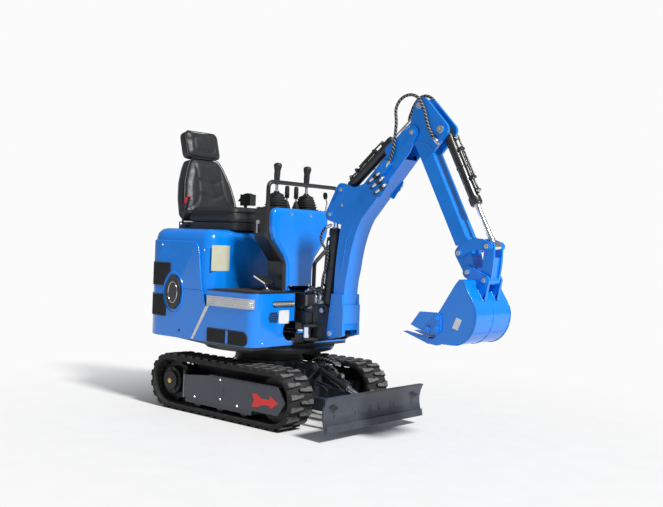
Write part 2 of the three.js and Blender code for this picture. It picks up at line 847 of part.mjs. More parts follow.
put("console_frame", front(consoleOutline(2), consoleRear, consoleFront), BLACK);
put("console_cover", consoleCover(), BLUE);
put("handrail", handrail(), BLACK);
put("control_deck", controlDeck(), RUBBER);
put("joystick_right", joystick(-1), BLACK);
put("joystick_left", joystick(1), BLACK);
put("travel_lever_right", travelLever(-1), BLACK);
put("travel_lever_left", travelLever(1), BLACK);
put("blade_lever", bladeLever(), BLACK);
put("foot_pedal", pedal(), STEEL);

// ---------------------------------------------------------------- seat
const panBottom = hoodTop + FIT;
const panTop = panBottom + panThick;

function roundedRect(halfWide, low, high, radius) {
  const shape = new THREE.Shape();
  shape.absarc(halfWide - radius, high - radius, radius, 0, Math.PI / 2, false);
  shape.absarc(radius - halfWide, high - radius, radius, Math.PI / 2, Math.PI, false);
  shape.absarc(radius - halfWide, low + radius, radius, Math.PI, 1.5 * Math.PI, false);
  shape.absarc(halfWide - radius, low + radius, radius, 1.5 * Math.PI, 2 * Math.PI, false);
  shape.closePath();
  return shape;
}

function cushionPlan(x0, x1, half, radius) {
  const shape = new THREE.Shape();
  shape.moveTo(x0, half);
  shape.lineTo(x0, -half);
  shape.absarc(x1 - radius, radius - half, radius, -Math.PI / 2, 0, false);
  shape.absarc(x1 - radius, half - radius, radius, 0, Math.PI / 2, false);
  shape.closePath();
  return shape;
}

const backrestRear = seatBack - backThick;
const cushionAt = (inset) => cushionPlan(seatBack + 0.6, seatFront - inset, seatHalf - inset, 50 - inset);
const pan = plan(cushionPlan(backrestRear - 4, seatFront + 2, seatHalf - 12, 40), panBottom, panTop);
put("seat_pan", pan, BLACK);
put(
  "seat_cushion",
  crowned(cushionAt, panTop + FIT, panTop + FIT + cushionThick, 26),
  VINYL,
);

// Backrest and headrest lean together about the backrest's lower front edge.
function leaning(shape, x0, x1) {
  const lean = (-backLean * Math.PI) / 180;
  return front(shape, x0, x1)
    .rotate([0, (lean * 180) / Math.PI, 0])
    .translate([seatBack, 0, panTop + backFoot]);
}
const backFoot = 28; // lifts the leaning backrest's rear edge clear of the pan
const backShape = new THREE.Shape();
backShape.moveTo(-seatHalf + 30, 0);
backShape.lineTo(seatHalf - 30, 0);
backShape.quadraticCurveTo(seatHalf, 0, seatHalf, 40);
backShape.quadraticCurveTo(seatHalf - 8, 250, backTopHalf, backHigh - 30);
backShape.quadraticCurveTo(backTopHalf - 16, backHigh, 92, backHigh);
backShape.lineTo(-92, backHigh);
backShape.quadraticCurveTo(16 - backTopHalf, backHigh, -backTopHalf, backHigh - 30);
backShape.quadraticCurveTo(-seatHalf + 8, 250, -seatHalf, 40);
backShape.quadraticCurveTo(-seatHalf, 0, -seatHalf + 30, 0);
put("seat_backrest", leaning(backShape, -backThick, 0), VINYL);
const headRear = 90; // the headrest's rear face, behind the backrest's front
const headShape = roundedRect(headHalf, backHigh + FIT, backHigh + FIT + headHigh, 40);
put("headrest", leaning(headShape, -headRear, headThick - headRear), VINYL);

const strapY = seatHalf + 18;
const buckle = join(
  bar([-552, -strapY, panTop + 88], [-524, -strapY, panTop + 162], 17, 15, 12),
  bar([-580, -strapY, panTop - 26], [-550, -strapY, panTop + 92], 7, 7, 12),
  box(-592, -568, -strapY - 4, -seatHalf + 12 - FIT, panTop - 34, panTop - 22),
);
put("belt_buckle", buckle, BLACK);
const reel = join(
  box(-560, -462, seatHalf + 6, seatHalf + 60, panTop + 128, panTop + 204),
  box(-524, -500, seatHalf + 8, seatHalf + 18, panTop - 26, panTop + 130),
  box(-524, -500, seatHalf - 12 + FIT, seatHalf + 18, panTop - 34, panTop - 24),
);
put("belt_reel", reel, BLACK);

// ---------------------------------------------------------------- swing post
function kingpost() {
  const flange = 18;
  const lugReach = 100;
  const arm = (z0, z1) =>
    plan(
      bossOutline([
        [swingAxisX, 0, swingRadius],
        [swingAxisX + lugReach, -postHalf, 0],
        [swingAxisX + lugReach, postHalf, 0],
      ]),
      z0,
      z1,
    );
  const upper = arm(swingHigh + RUN, swingHigh + RUN + flange);
  const lower = arm(swingLow - RUN - 24, swingLow - RUN);
  const plateShape = bossOutline([
    [swingAxisX + 62, 470, 0],
    [pinFoot[0], pinFoot[1], 38],
    [pinBoomLow[0], pinBoomLow[1] + 4, 38],
    [swingAxisX + 62, 690, 0],
  ]);
  const plates = pair(plateShape, eyeHalf + RUN, postHalf);
  const web = box(swingAxisX + 62, swingAxisX + 80, -postHalf + 1, postHalf - 1, 470, 690);
  const ties = join(
    bar([pinFoot[0], -postHalf + 1, pinFoot[1]], [pinFoot[0], postHalf - 1, pinFoot[1]], 30, 30, 20),
    box(pinFoot[0] - 100, pinFoot[0] - 20, -postHalf + 1, postHalf - 1, 498, 514),
  );
  const gap = eyeHalf + RUN;
  const ear = (z0, z1) =>
    plan(
      bossOutline([
        [swingEye[0], swingEye[1], 27],
        [swingAxisX + 110, -postHalf + 2, 0],
        [swingAxisX + 60, -postHalf + 22, 0],
      ]),
      z0,
      z1,
    );
  const ears = join(
    ear(swingLevel - gap - 14, swingLevel - gap),
    ear(swingLevel + gap, swingLevel + gap + 14),
  );
  return join(upper, lower, plates, web, ties, ears, pinHeads(pinBoomLow, 22, postHalf, 5));
}
put("kingpost", kingpost(), BLACK);

// ---------------------------------------------------------------- boom
function boomOutline(inset) {
  const shape = new THREE.Shape();
  const t = inset;
  shape.moveTo(pinFoot[0] - 28 + t, pinFoot[1] + 40);
  shape.lineTo(pinFoot[0] + 86 - t, pinFoot[1] + 24);
  shape.quadraticCurveTo(pinFoot[0] + 60 - t, 780, pinFoot[0] + 96 - t, 900);
  shape.quadraticCurveTo(pinFoot[0] + 118 - t, 1080, 746 - t, 1190 + t);
  shape.lineTo(pinTip[0] - 14 - t, pinTip[1] - 106);
  shape.lineTo(pinTip[0] + 22 - t, pinTip[1] - 28);
  shape.lineTo(pinTip[0] - 26, pinTip[1] + 26 - t);
  shape.lineTo(742, 1378 - t);
  shape.quadraticCurveTo(640 + t, 1300, 596 + t, 1150);
  shape.quadraticCurveTo(560 + t, 950, pinFoot[0] - 2 + t, 740);
  shape.closePath();
  return shape;
}

function boom() {
  const shell = cut(
    side(boomOutline(0), -boomHalf, boomHalf),
    side(boomOutline(boomPlate), -boomHalf + boomPlate, boomHalf - boomPlate),
  );
  const foot = bossOutline([
    [pinFoot[0], pinFoot[1], 30],
    [pinFoot[0] + 88, pinFoot[1] - 6, 0],
    [pinFoot[0] + 76, 760, 0],
    [pinFoot[0] - 4, 760, 0],
  ]);
  const feet = pair(foot, postHalf + RUN, footHalf);
  const gusset = side(
    outline([
      [pinFoot[0] + 4, 640],
      [pinFoot[0] + 80, 640],
      [pinFoot[0] + 72, 752],
      [pinFoot[0] + 4, 752],
    ]),
    -footHalf + 1,
    footHalf - 1,
  );
  const toe = box(pinFoot[0] + 74, pinFoot[0] + 86, -footHalf + 1, footHalf - 1, pinFoot[1] + 60, 700);
  const ear = bossOutline([
    [pinBoomHigh[0], pinBoomHigh[1], 38],
    [660, 1140, 0],
    [800, 1400, 0],
    [pinArmBase[0] + 90, pinArmBase[1] + 10, 0],
    [pinArmBase[0], pinArmBase[1], 38],
  ]);
  const ears = pair(ear, eyeHalf + RUN, boomHalf);
  const fork = bossOutline([
    [pinTip[0], pinTip[1], 36],
    [pinTip[0] - 150, pinTip[1] - 92, 30],
    [pinTip[0] - 100, pinTip[1] - 158, 30],
  ]);
  const inner = armHalf + RUN;
  const tines = pair(fork, Math.min(inner, boomHalf - boomPlate / 2), inner + forkPlate);
  const slot = join(
    disc(pinTip, 150, -inner, inner, 32),
    box(pinTip[0] - 40, pinTip[0] + 60, -inner, inner, pinTip[1] - 180, pinTip[1] + 60),
  );
  const mouth = side(
    outline([
      [pinFoot[0] - 60, pinFoot[1] - 60],
      [pinFoot[0] + 66, pinFoot[1] - 60],
      [pinFoot[0] + 60, 610],
      [pinFoot[0] + 20, 640],
      [pinFoot[0] - 60, 700],
    ]),
    -postHalf - 4,
    postHalf + 4,
  );
  const bay = side(
    bossOutline([
      [pinBoomHigh[0], pinBoomHigh[1], 62],
      [pinArmBase[0] + 6, pinArmBase[1] - 6, 62],
      [470, 1300, 40],
    ]),
    -eyeHalf - RUN,
    eyeHalf + RUN,
  );
  const heads = join(
    pinHeads(pinBoomHigh, 20, boomHalf, 5),
    pinHeads(pinArmBase, 20, boomHalf, 5),
    pinHeads(pinFoot, 24, footHalf, 6),
    pinHeads(pinTip, 22, inner + forkPlate, 6),
  );
  const body = join(shell, feet, gusset, toe, ears, tines);
  return join(cut(body, bay, mouth, slot), heads);
}
put("boom", boom(), BLUE);

// ---------------------------------------------------------------- arm
function arm() {
  const body = outline([
    [pinTip[0] + 44, 1640],
    [pinTip[0] + 30, 1560],
    [pinIdler[0] - 32, pinIdler[1] + 36],
    [pinIdler[0] + 30, pinIdler[1] + 78],
    [1190, 1560],
    [1170, 1640],
  ]);
  const hollow = outline([
    [pinTip[0] + 62, 1650],
    [pinTip[0] + 52, 1560],
    [pinIdler[0] - 14, pinIdler[1] + 60],
    [pinIdler[0] + 16, pinIdler[1] + 82],
    [1174, 1560],
    [1156, 1650],
  ]);
  const inner = armHalf - armPlate;
  const beam = cut(side(body, -armHalf, armHalf), side(hollow, -inner, inner));
  const nose = side(
    bossOutline([
      [pinIdler[0] - 4, pinIdler[1] + 2, 32],
      [pinBucket[0], pinBucket[1], 32],
      [pinIdler[0] + 26, pinIdler[1] + 70, 14],
    ]),
    -armHalf,
    armHalf,
  );
  const ear = bossOutline([
    [pinTip[0], pinTip[1], 34],
    [pinTip[0] + 60, 1560, 22],
    [1196, 1560, 14],
    [pinBucketBase[0], pinBucketBase[1], 42],
    [pinArmEar[0] + 16, pinArmEar[1] + 12, 32],
    [pinArmEar[0] - 2, pinArmEar[1], 32],
  ]);
  const ears = pair(ear, eyeHalf + RUN, armHalf);
  const hub = disc(pinTip, 33, -armHalf, armHalf, 24);
  const heads = join(
    pinHeads(pinArmEar, 20, armHalf, 6),
    pinHeads(pinBucketBase, 22, armHalf, 12),
  );
  return join(beam, nose, ears, hub, heads);
}
put("arm", arm(), BLUE);

// ---------------------------------------------------------------- bucket and its linkage
const earInner = armHalf + RUN;

function idlerLink() {
  const bow = new THREE.Shape();
  const [ax, az] = pinIdler;
  const [bx, bz] = pinLink;
  bow.absarc(ax, az, 26, Math.PI * 0.62, Math.PI * 1.72, false);
  bow.quadraticCurveTo((ax + bx) / 2, (az + bz) / 2 + 14, bx - 4, bz - 24);
  bow.absarc(bx, bz, 24, -Math.PI * 0.4, Math.PI * 0.5, false);
  bow.quadraticCurveTo((ax + bx) / 2 - 10, (az + bz) / 2 + 88, ax - 10, az + 25);
  bow.closePath();
  const plates = pair(bow, earInner, earInner + linkPlate);
  const tube = cut(
    disc(pinLink, 20, -earInner - 1, earInner + 1),
    disc(pinLink, 40, -armHalf + 3, armHalf - 3),
  );
  const tie = disc([ax + linkTie[0], az + linkTie[1]], 10, -earInner - 1, earInner + 1, 12);
  const heads = join(
    pinHeads(pinIdler, 18, earInner + linkPlate, 8),
    pinHeads(pinLink, 18, earInner + linkPlate, 14),
  );
  return join(plates, tube, tie, heads);
}

function tippingLink() {
  const [bx, bz] = pinLink;
  const [dx, dz] = pinTipping;
  const bow = new THREE.Shape();
  bow.absarc(bx, bz, 25, 0, Math.PI, false);
  bow.quadraticCurveTo(bx - 44, (bz + dz) / 2 + 10, dx - 22, dz + 8);
  bow.absarc(dx, dz, 24, Math.PI * 0.88, Math.PI * 2.05, false);
  bow.quadraticCurveTo(bx + 30, (bz + dz) / 2, bx + 25, bz);
  const inner = eyeHalf + RUN;
  const cheeks = pair(bow, inner, armHalf - 4);
  const web = outline([
    [bx - 8, (bz + dz) / 2 + 30],
    [dx - 16, dz],
    [dx + 16, dz],
    [bx + 18, (bz + dz) / 2 + 30],
  ]);
  const back = side(web, -inner - 1, inner + 1);
  const hub = disc(pinTipping, 24, -earInner + 2 * RUN, earInner - 2 * RUN, 24);
  return join(cheeks, back, hub);
}

// The bucket's back, from the hinge plate round to the lip.
function bucketCurve(shape, inset) {
  const t = inset;
  shape.moveTo(1337, 562 + t);
  shape.lineTo(1453, 562 + t);
  shape.bezierCurveTo(1520, 562 + t, bucketBack - 8 - t, 628, bucketBack - 6 - t, 712);
  shape.bezierCurveTo(bucketBack - 6 - t, 780, 1528 - t * 0.6, 812 - t, 1512 - t * 0.7, 862);
}

function bucket() {
  const cheek = new THREE.Shape();
  bucketCurve(cheek, 0);
  cheek.lineTo(1500, 888);
  cheek.lineTo(1470, 892);
  cheek.lineTo(1448, 866);
  cheek.lineTo(1352, 716);
  cheek.closePath();
  const inside = new THREE.Shape();
  bucketCurve(inside, bucketWall);
  inside.lineTo(1490, 874);
  inside.lineTo(1440, 900);
  inside.lineTo(1300, 800);
  inside.lineTo(1300, 562 + bucketWall);
  inside.closePath();
  const inner = bucketHalf - bucketWall;
  const shell = cut(side(cheek, -bucketHalf, bucketHalf), side(inside, -inner, inner));
  const ear = bossOutline([
    [pinBucket[0], pinBucket[1], 32],
    [1484, 876, 0],
    [1556, 796, 8],
    [pinTipping[0], pinTipping[1], 28],
  ]);
  const ears = cut(pair(ear, earInner, earInner + 18), side(inside, -inner, inner));
  const lip = side(
    outline([
      [1280, 566],
      [1345, 556],
      [1345, 574],
    ]),
    -bucketHalf,
    bucketHalf,
  );
  const tooth = outline([
    [1335 - toothReach, 606],
    [1290, 556],
    [1350, 550],
    [1350, 580],
    [1290, 584],
  ]);
  const spacing = (2 * bucketHalf - toothWide) / (toothCount - 1);
  const teeth = Array.from({ length: toothCount }, (_, i) => {
    const y = -bucketHalf + i * spacing;
    return side(tooth, y, y + toothWide);
  });
  const heads = join(
    pinHeads(pinBucket, 18, earInner + 18, 6),
    pinHeads(pinTipping, 17, earInner + 18, 6),
  );
  return join(shell, ears, lip, ...teeth, heads);
}

function sideCutter() {
  const plate = outline([
    [1192, 645],
    [1276, 614],
    [1350, 606],
    [1378, 626],
    [1378, 702],
    [1356, 718],
    [1246, 716],
  ]);
  const y = -bucketHalf - FIT;
  const bolts = [
    [1352, 690],
    [1352, 636],
    [1300, 632],
  ].map((p) => disc(p, 12, y - 18, y - 9, 12));
  return join(side(plate, y - 10, y), ...bolts);
}

put("idler_link", idlerLink(), BLUE);
put("tipping_link", tippingLink(), BLUE);
put("bucket", bucket(), BLUE);
const cutter = sideCutter();
put("side_cutter_right", cutter, BLUE);
put("side_cutter_left", mirrored(cutter), BLUE);

model.position.x = -originX;
export default model;
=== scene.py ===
"""Looks of a one-tonne tracked excavator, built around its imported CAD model.

Lengths are millimetres in the machine's own frame: the origin lies on the ground under the
slew axis, +X points at the blade, +Y to the operator's left. P() turns them into row metres.
"""
import math

import bmesh
import bpy
import numpy as np
from mathutils import Matrix, Vector
from mathutils.bvhtree import BVHTree


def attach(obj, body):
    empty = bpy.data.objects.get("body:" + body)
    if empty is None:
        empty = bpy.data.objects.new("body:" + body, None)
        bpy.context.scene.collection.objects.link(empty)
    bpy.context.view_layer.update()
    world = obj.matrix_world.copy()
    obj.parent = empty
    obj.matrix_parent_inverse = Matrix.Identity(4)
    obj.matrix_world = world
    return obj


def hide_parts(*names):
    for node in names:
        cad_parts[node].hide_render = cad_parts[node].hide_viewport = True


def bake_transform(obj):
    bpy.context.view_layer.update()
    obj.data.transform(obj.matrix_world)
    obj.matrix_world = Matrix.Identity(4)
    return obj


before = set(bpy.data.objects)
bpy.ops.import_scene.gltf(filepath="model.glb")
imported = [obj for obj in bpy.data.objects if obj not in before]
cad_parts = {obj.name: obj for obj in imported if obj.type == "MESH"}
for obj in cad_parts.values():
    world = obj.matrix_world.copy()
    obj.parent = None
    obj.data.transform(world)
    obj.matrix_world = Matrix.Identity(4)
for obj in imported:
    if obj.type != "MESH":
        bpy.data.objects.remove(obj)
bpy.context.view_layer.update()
scene = bpy.context.scene

ORIGIN_X = 403.5
TURN = 2 * math.pi


def P(x, y, z):
    return Vector(((x - ORIGIN_X) / 1000, y / 1000, z / 1000))


# ---------------------------------------------------------------- dimensions
HALF_TRACK, SHOE_WIDE, TRACK_HIGH, HUB_X = 430, 185, 338, 441
FRAME_FACE, HOUSE_HALF = 428, 430
LUG_HIGH, BAND_THICK, LUG_COUNT = 14, 24, 40
BEND = TRACK_HIGH / 2
FLOOR_TOP, HOOD_FRONT, NOSE_FRONT = 751, -110, 290
DECK_TOP = 1246.3
STICK_X, STICK_HALF, TRAVEL_HALF = 143, 130, 40
SEAT_BACK, PAN_TOP, LEAN = -538, 1152.3, math.radians(15)
BACK_HIGH, HEAD_HALF, HEAD_HIGH = 418, 142, 188
CAP_CENTRE = (-414, 714)
BUCKET_HALF = 165
PIN = {
    "foot": (562, 533), "boom_low": (470, 656), "boom_high": (514, 1214),
    "arm_base": (589, 1355), "tip": (1073, 1656), "arm_ear": (1107, 1798),
    "bucket_base": (1250, 1662), "idler": (1399, 1022), "link": (1565, 1062),
    "bucket": (1457, 927), "tipping": (1554, 890), "blade_arm": (345, 150),
    "blade_base": (415, 319), "blade_eye": (800, 160),
}


def around(count, offset=0.0):
    """Angles spread evenly over a turn."""
    return [TURN * (i + offset) / count for i in range(count)]


def rect(u0, u1, v0, v1):
    """The outline of a rectangle."""
    return [(u0, v0), (u1, v0), (u1, v1), (u0, v1)]


# ---------------------------------------------------------------- materials
class Tree:
    """A procedural material: add() makes a node, and links or sets its inputs by name."""

    def __init__(self, name):
        self.mat = bpy.data.materials.new(name)
        self.mat.use_nodes = True
        self.tree = self.mat.node_tree
        self.shader = self.tree.nodes["Principled BSDF"]
        self.place = self.add("ShaderNodeTexCoord").outputs["Object"]

    def feed(self, node, inputs):
        for key, value in inputs.items():
            socket = node.inputs[key]
            if isinstance(value, bpy.types.NodeSocket):
                self.tree.links.new(value, socket)
            else:
                socket.default_value = value
        return node

    def add(self, kind, inputs=None, **settings):
        node = self.tree.nodes.new(kind)
        for key, value in settings.items():
            setattr(node, key, value)
        return self.feed(node, inputs or {})

    def noise(self, scale, detail=4.0, rough=0.55):
        sockets = {"Vector": self.place, "Scale": scale, "Detail": detail, "Roughness": rough}
        return self.add("ShaderNodeTexNoise", sockets).outputs[0]

    def cells(self, scale):
        return self.add("ShaderNodeTexVoronoi", {"Vector": self.place, "Scale": scale}).outputs[0]

    def ranged(self, value, low, high, to_low=0.0, to_high=1.0):
        sockets = {"Value": value, "From Min": low, "From Max": high,
                   "To Min": to_low, "To Max": to_high}
        return self.add("ShaderNodeMapRange", sockets).outputs[0]

    def mix(self, share, a, b):
        node = self.add("ShaderNodeMix", data_type="RGBA")
        return self.feed(node, {0: share, 6: a, 7: b}).outputs[2]

    def times(self, a, b):
        return self.add("ShaderNodeMath", {0: a, 1: b}, operation="MULTIPLY").outputs[0]

    def bump(self, layers):
        normal = None
        for height, strength, depth in layers:
            sockets = {"Height": height, "Strength": strength, "Distance": depth}
            if normal is not None:
                sockets["Normal"] = normal
            normal = self.add("ShaderNodeBump", sockets).outputs[0]
        self.feed(self.shader, {"Normal": normal})

    def upward(self):
        normal = self.add("ShaderNodeNewGeometry").outputs["Normal"]
        parts = self.add("ShaderNodeSeparateXYZ", {0: normal})
        return parts.outputs["Z"]


def rgba(colour, gain=1.0):
    return (*[min(1.0, c * gain) for c in colour], 1.0)


DUST = (0.30, 0.295, 0.28)


def look(name, colour, rough, metal=0.0, vary=0.12, grain=(900, 0.12, 0.0003), cloud=14,
         dust=0.0, spec=0.5, coat=0.0, cellular=False):
    """Base colour with soft variation, fine surface grain, and dust on what faces up."""
    t = Tree(name)
    soft = t.noise(cloud, 5.0)
    fine = t.cells(grain[0]) if cellular else t.noise(grain[0], 3.0)
    colour_now = t.mix(t.ranged(soft, 0.3, 0.7), rgba(colour, 1 - vary), rgba(colour, 1 + vary))
    if dust:
        speckle = t.ranged(t.noise(60, 8.0, 0.7), 0.42, 0.72)
        share = t.times(t.times(speckle, t.ranged(t.upward(), -0.2, 0.9)), dust)
        colour_now = t.mix(share, colour_now, rgba(DUST))
    t.feed(t.shader, {
        "Base Color": colour_now,
        "Metallic": metal,
        "Roughness": t.ranged(soft, 0.25, 0.75, rough - 0.07, rough + 0.07),
        "Specular IOR Level": spec,
        "Coat Weight": coat,
        "Coat Roughness": 0.08,
    })
    t.bump([(fine, grain[1], grain[2]), (soft, 0.08, 0.002)])
    return t.mat


def brushed(name, colour, rough):
    """Metal with long fine scratches along one axis."""
    t = Tree(name)
    sockets = {"Vector": t.place, "Scale": (40, 1200, 1200)}
    stretched = t.add("ShaderNodeMapping", sockets).outputs[0]
    sockets = {"Vector": stretched, "Scale": 1.0, "Detail": 6.0}
    lines = t.add("ShaderNodeTexNoise", sockets).outputs[0]
    soft = t.noise(25, 4.0)
    t.feed(t.shader, {
        "Base Color": t.mix(t.ranged(soft, 0.3, 0.7), rgba(colour, 0.88), rgba(colour, 1.08)),
        "Metallic": 1.0,
        "Roughness": t.ranged(lines, 0.3, 0.7, rough * 0.7, rough * 1.4),
    })
    t.bump([(lines, 0.06, 0.0002)])
    return t.mat


def see_through(name):
    t = Tree(name)
    t.feed(t.shader, {
        "Base Color": (0.93, 0.95, 0.97, 1),
        "Roughness": t.ranged(t.noise(70), 0.3, 0.7, 0.03, 0.1),
        "Transmission Weight": 0.9,
        "IOR": 1.45,
    })
    t.bump([(t.noise(300), 0.04, 0.0005)])
    return t.mat


BLUE = look("blue_enamel", (0.002, 0.215, 0.80), 0.2, vary=0.03, grain=(420, 0.03, 0.0003),
            coat=0.2)
DARK = look("slate_enamel", (0.046, 0.053, 0.071), 0.3, 0.1, dust=0.12, grain=(700, 0.06, 0.0003))
BLACK = look("black_enamel", (0.016, 0.017, 0.019), 0.36, vary=0.2, coat=0.15)
IRON = look("black_iron", (0.012, 0.012, 0.013), 0.5, 0.2, vary=0.3, dust=0.12)
TREAD = look("track_rubber", (0.020, 0.020, 0.020), 0.8, vary=0.25, dust=0.12, spec=0.3,
             grain=(260, 0.5, 0.0012), cloud=30)
VINYL = look("seat_vinyl", (0.016, 0.017, 0.020), 0.47, vary=0.1, grain=(520, 0.2, 0.0003),
             cellular=True)
# lug tops: a lighter grey that is partly dust and partly a painted highlight where the tops catch
# the light
LUG_DUST_AND_HIGHLIGHT = look("lug_dust_and_highlight", (0.11, 0.11, 0.112), 0.75, vary=0.45, dust=0.2, spec=0.3, cloud=60,
            grain=(300, 0.5, 0.001))
THREAD = look("seat_thread", (0.05, 0.05, 0.055), 0.8, grain=(2500, 0.4, 0.0003))
RUBBER = look("soft_rubber", (0.014, 0.014, 0.015), 0.6, vary=0.2, grain=(800, 0.25, 0.0003))
PLASTIC = look("grained_plastic", (0.018, 0.018, 0.02), 0.5, grain=(1400, 0.35, 0.0003),
               cellular=True)
MAT = look("floor_mat", (0.014, 0.014, 0.015), 0.7, grain=(600, 0.4, 0.0006), dust=0.2)
CHROME = brushed("rod_chrome", (0.82, 0.84, 0.86), 0.12)
STEEL = brushed("zinc_steel", (0.62, 0.64, 0.66), 0.3)
# the rear flange of each track frame: a lighter metallic grey than the frame
EDGE = look("light_edge_grey", (0.20, 0.21, 0.23), 0.4, 0.6, vary=0.2, dust=0.3)
BRASS = brushed("brass", (0.62, 0.43, 0.16), 0.3)
SILVER = look("silver_trim", (0.6, 0.61, 0.63), 0.28, 0.75, vary=0.1, grain=(500, 0.4, 0.0006),
              cellular=True)
LABEL = look("blank_label", (0.72, 0.73, 0.72), 0.45, vary=0.04)
PALE = look("pale_label", (0.55, 0.55, 0.42), 0.45, vary=0.06)
RED = look("red_marking", (0.78, 0.02, 0.022), 0.4, vary=0.08)
GREY = look("grey_plate", (0.12, 0.12, 0.125), 0.45, 0.2)
LENS = see_through("clear_lens")
LED = look("lamp_cell", (0.85, 0.84, 0.75), 0.3, vary=0.06, spec=0.8)
BRAID_DARK = look("braid_dark", (0.02, 0.02, 0.021), 0.55, grain=(1800, 0.3, 0.0004))
BRAID_PALE = look("braid_pale", (0.42, 0.43, 0.44), 0.45, grain=(1800, 0.3, 0.0004))


# ---------------------------------------------------------------- shapes
def spline(points, steps=6):
    """Points on a smooth curve through the given ones."""
    pts = [Vector(p) for p in points]
    if len(pts) < 3:
        return pts
    ends = [2 * pts[0] - pts[1], *pts, 2 * pts[-1] - pts[-2]]
    out = []
    for a, b, c, d in zip(ends, ends[1:], ends[2:], ends[3:]):
        for k in range(steps):
            t = k / steps
            out.append(0.5 * (2 * b + (c - a) * t + (2 * a - 5 * b + 4 * c - d) * t * t
                              + (3 * b - a - 3 * c + d) * t ** 3))
    return [*out, pts[-1]]


def even(points, step):
    """The same polyline with points an equal distance apart."""
    gaps = [(b - a).length for a, b in zip(points, points[1:])]
    along = np.concatenate([[0], np.cumsum(gaps)])
    count = max(2, round(along[-1] / step))
    grid = np.linspace(0, along[-1], count + 1)
    axes = [np.interp(grid, along, [p[k] for p in points]) for k in range(3)]
    return [Vector(p) for p in zip(*axes)]


def rounded(points, radius, steps=5):
    """A closed outline with its corners rounded; radius is one number or one per corner."""
    count = len(points)
    radii = radius if isinstance(radius, (list, tuple)) else [radius] * count
    out = []
    for i, r in enumerate(radii):
        a, b, c = (Vector(points[(i + k) % count]) for k in (-1, 0, 1))
        back, ahead = (a - b).normalized(), (c - b).normalized()
        reach = min(r, 0.49 * (a - b).length, 0.49 * (c - b).length)
        enter, leave = b + back * reach, b + ahead * reach
        for k in range(steps + 1):
            t = k / steps
            out.append(tuple((1 - t) ** 2 * enter + 2 * t * (1 - t) * b + t * t * leave))
    return out


def shrunk(points, inset):
    """A closed anticlockwise outline moved inwards."""
    pts = [Vector(p) for p in points]
    out = []
    for i, b in enumerate(pts):
        a, c = pts[i - 1], pts[(i + 1) % len(pts)]
        way = (c - a).normalized()
        out.append(tuple(b + Vector((-way.y, way.x)) * inset))
    return out


def oval(cx, cz, wide, high, count=40):
    return [(cx + wide * math.cos(a), cz + high * math.sin(a)) for a in around(count)]


class Kit:
    """Collects closed shapes into one mesh."""

    def __init__(self):
        self.verts, self.faces = [], []

    def add(self, verts, faces):
        base = len(self.verts)
        self.verts += [tuple(v) for v in verts]
        self.faces += [tuple(base + i for i in f) for f in faces]
        return self

    def rings(self, rings, loop=False, caps=True):
        """Skins a chain of rings that have the same number of points."""
        n, count = len(rings[0]), len(rings)
        faces = []
        for r in range(count if loop else count - 1):
            a, b = r * n, ((r + 1) % count) * n
            faces += [(a + i, a + (i + 1) % n, b + (i + 1) % n, b + i) for i in range(n)]
        if caps and not loop:
            faces += [tuple(range(n)), tuple(range((count - 1) * n, count * n))]
        return self.add([v for ring in rings for v in ring], faces)

    def prism(self, outline, axis, a, b):
        def at(w):
            place = {"x": lambda u, v: (w, u, v), "y": lambda u, v: (u, w, v),
                     "z": lambda u, v: (u, v, w)}[axis]
            return [place(u, v) for u, v in outline]
        return self.rings([at(a), at(b)])

    def box(self, x0, x1, y0, y1, z0, z1):
        return self.prism(rect(x0, x1, y0, y1), "z", z0, z1)

    def lathe(self, start, way, profile, sides=20):
        """A turned shape; profile holds (distance along way, radius)."""
        way = Vector(way).normalized()
        turn = way.to_track_quat("Z", "Y").to_matrix()
        return self.rings([
            [Vector(start) + way * s + turn @ Vector((r * math.cos(a), r * math.sin(a), 0))
             for a in around(sides)] for s, r in profile])

    def tube(self, points, radius, sides=10, smooth=6, loop=False, flat=1.0):
        """A tube along the points; flat squeezes its section along the second axis."""
        path = spline(points, smooth) if smooth else [Vector(p) for p in points]
        count = len(path)
        aims = []
        for i in range(count):
            a = path[i - 1] if (loop or i) else path[i]
            b = path[(i + 1) % count] if (loop or i < count - 1) else path[i]
            aims.append((b - a).normalized())
        side = aims[0].orthogonal().normalized()
        if abs(aims[0].y) < 0.9:
            side = (Vector((0, 1, 0)) - aims[0] * aims[0].y).normalized()
        rings = []
        for point, aim in zip(path, aims):
            side = (side - aim * side.dot(aim)).normalized()
            up = aim.cross(side)
            rings.append([point + side * radius * math.cos(a) + up * radius * flat * math.sin(a)
                          for a in around(sides)])
        return self.rings(rings, loop=loop)

    def bolt(self, at, way, size=6.0, washer=True):
        """A hexagon head, with a washer and a chamfered top."""
        start = Vector(at)
        way = Vector(way).normalized()
        if washer:
            self.lathe(start, way, [(-0.5, size * 1.45), (1.2, size * 1.45), (1.8, size * 1.3)],
                       18)
        self.lathe(start, way, [(1.0, size), (size * 0.75, size), (size, size * 0.8)], 6)
        return self

    def pin(self, pin, face, radius):
        """A steel pin end that shows in a boss whose face is at |y| = face, with its nipple."""
        x, z = PIN[pin]
        for s in (-1, 1):
            self.lathe((x, s * (face - 1), z), (0, s, 0),
                       [(0, radius), (3, radius), (4.5, radius - 1.6), (4.5, radius * 0.5),
                        (3.6, radius * 0.45)], 28)
            self.lathe((x, s * (face + 2), z), (0, s, 0),
                       [(0, 3.6), (3, 3.6), (4, 2), (6, 2)], 10)
        return self


def meshed(name, kit):
    mesh = bpy.data.meshes.new(name)
    mesh.from_pydata([P(*v) for v in kit.verts], [], kit.faces)
    shell = bmesh.new()
    shell.from_mesh(mesh)
    bmesh.ops.recalc_face_normals(shell, faces=shell.faces)
    shell.to_mesh(mesh)
    shell.free()
    return mesh


def placed(name, data):
    """A new object in the scene."""
    thing = bpy.data.objects.new(name, data)
    scene.collection.objects.link(thing)
    return thing


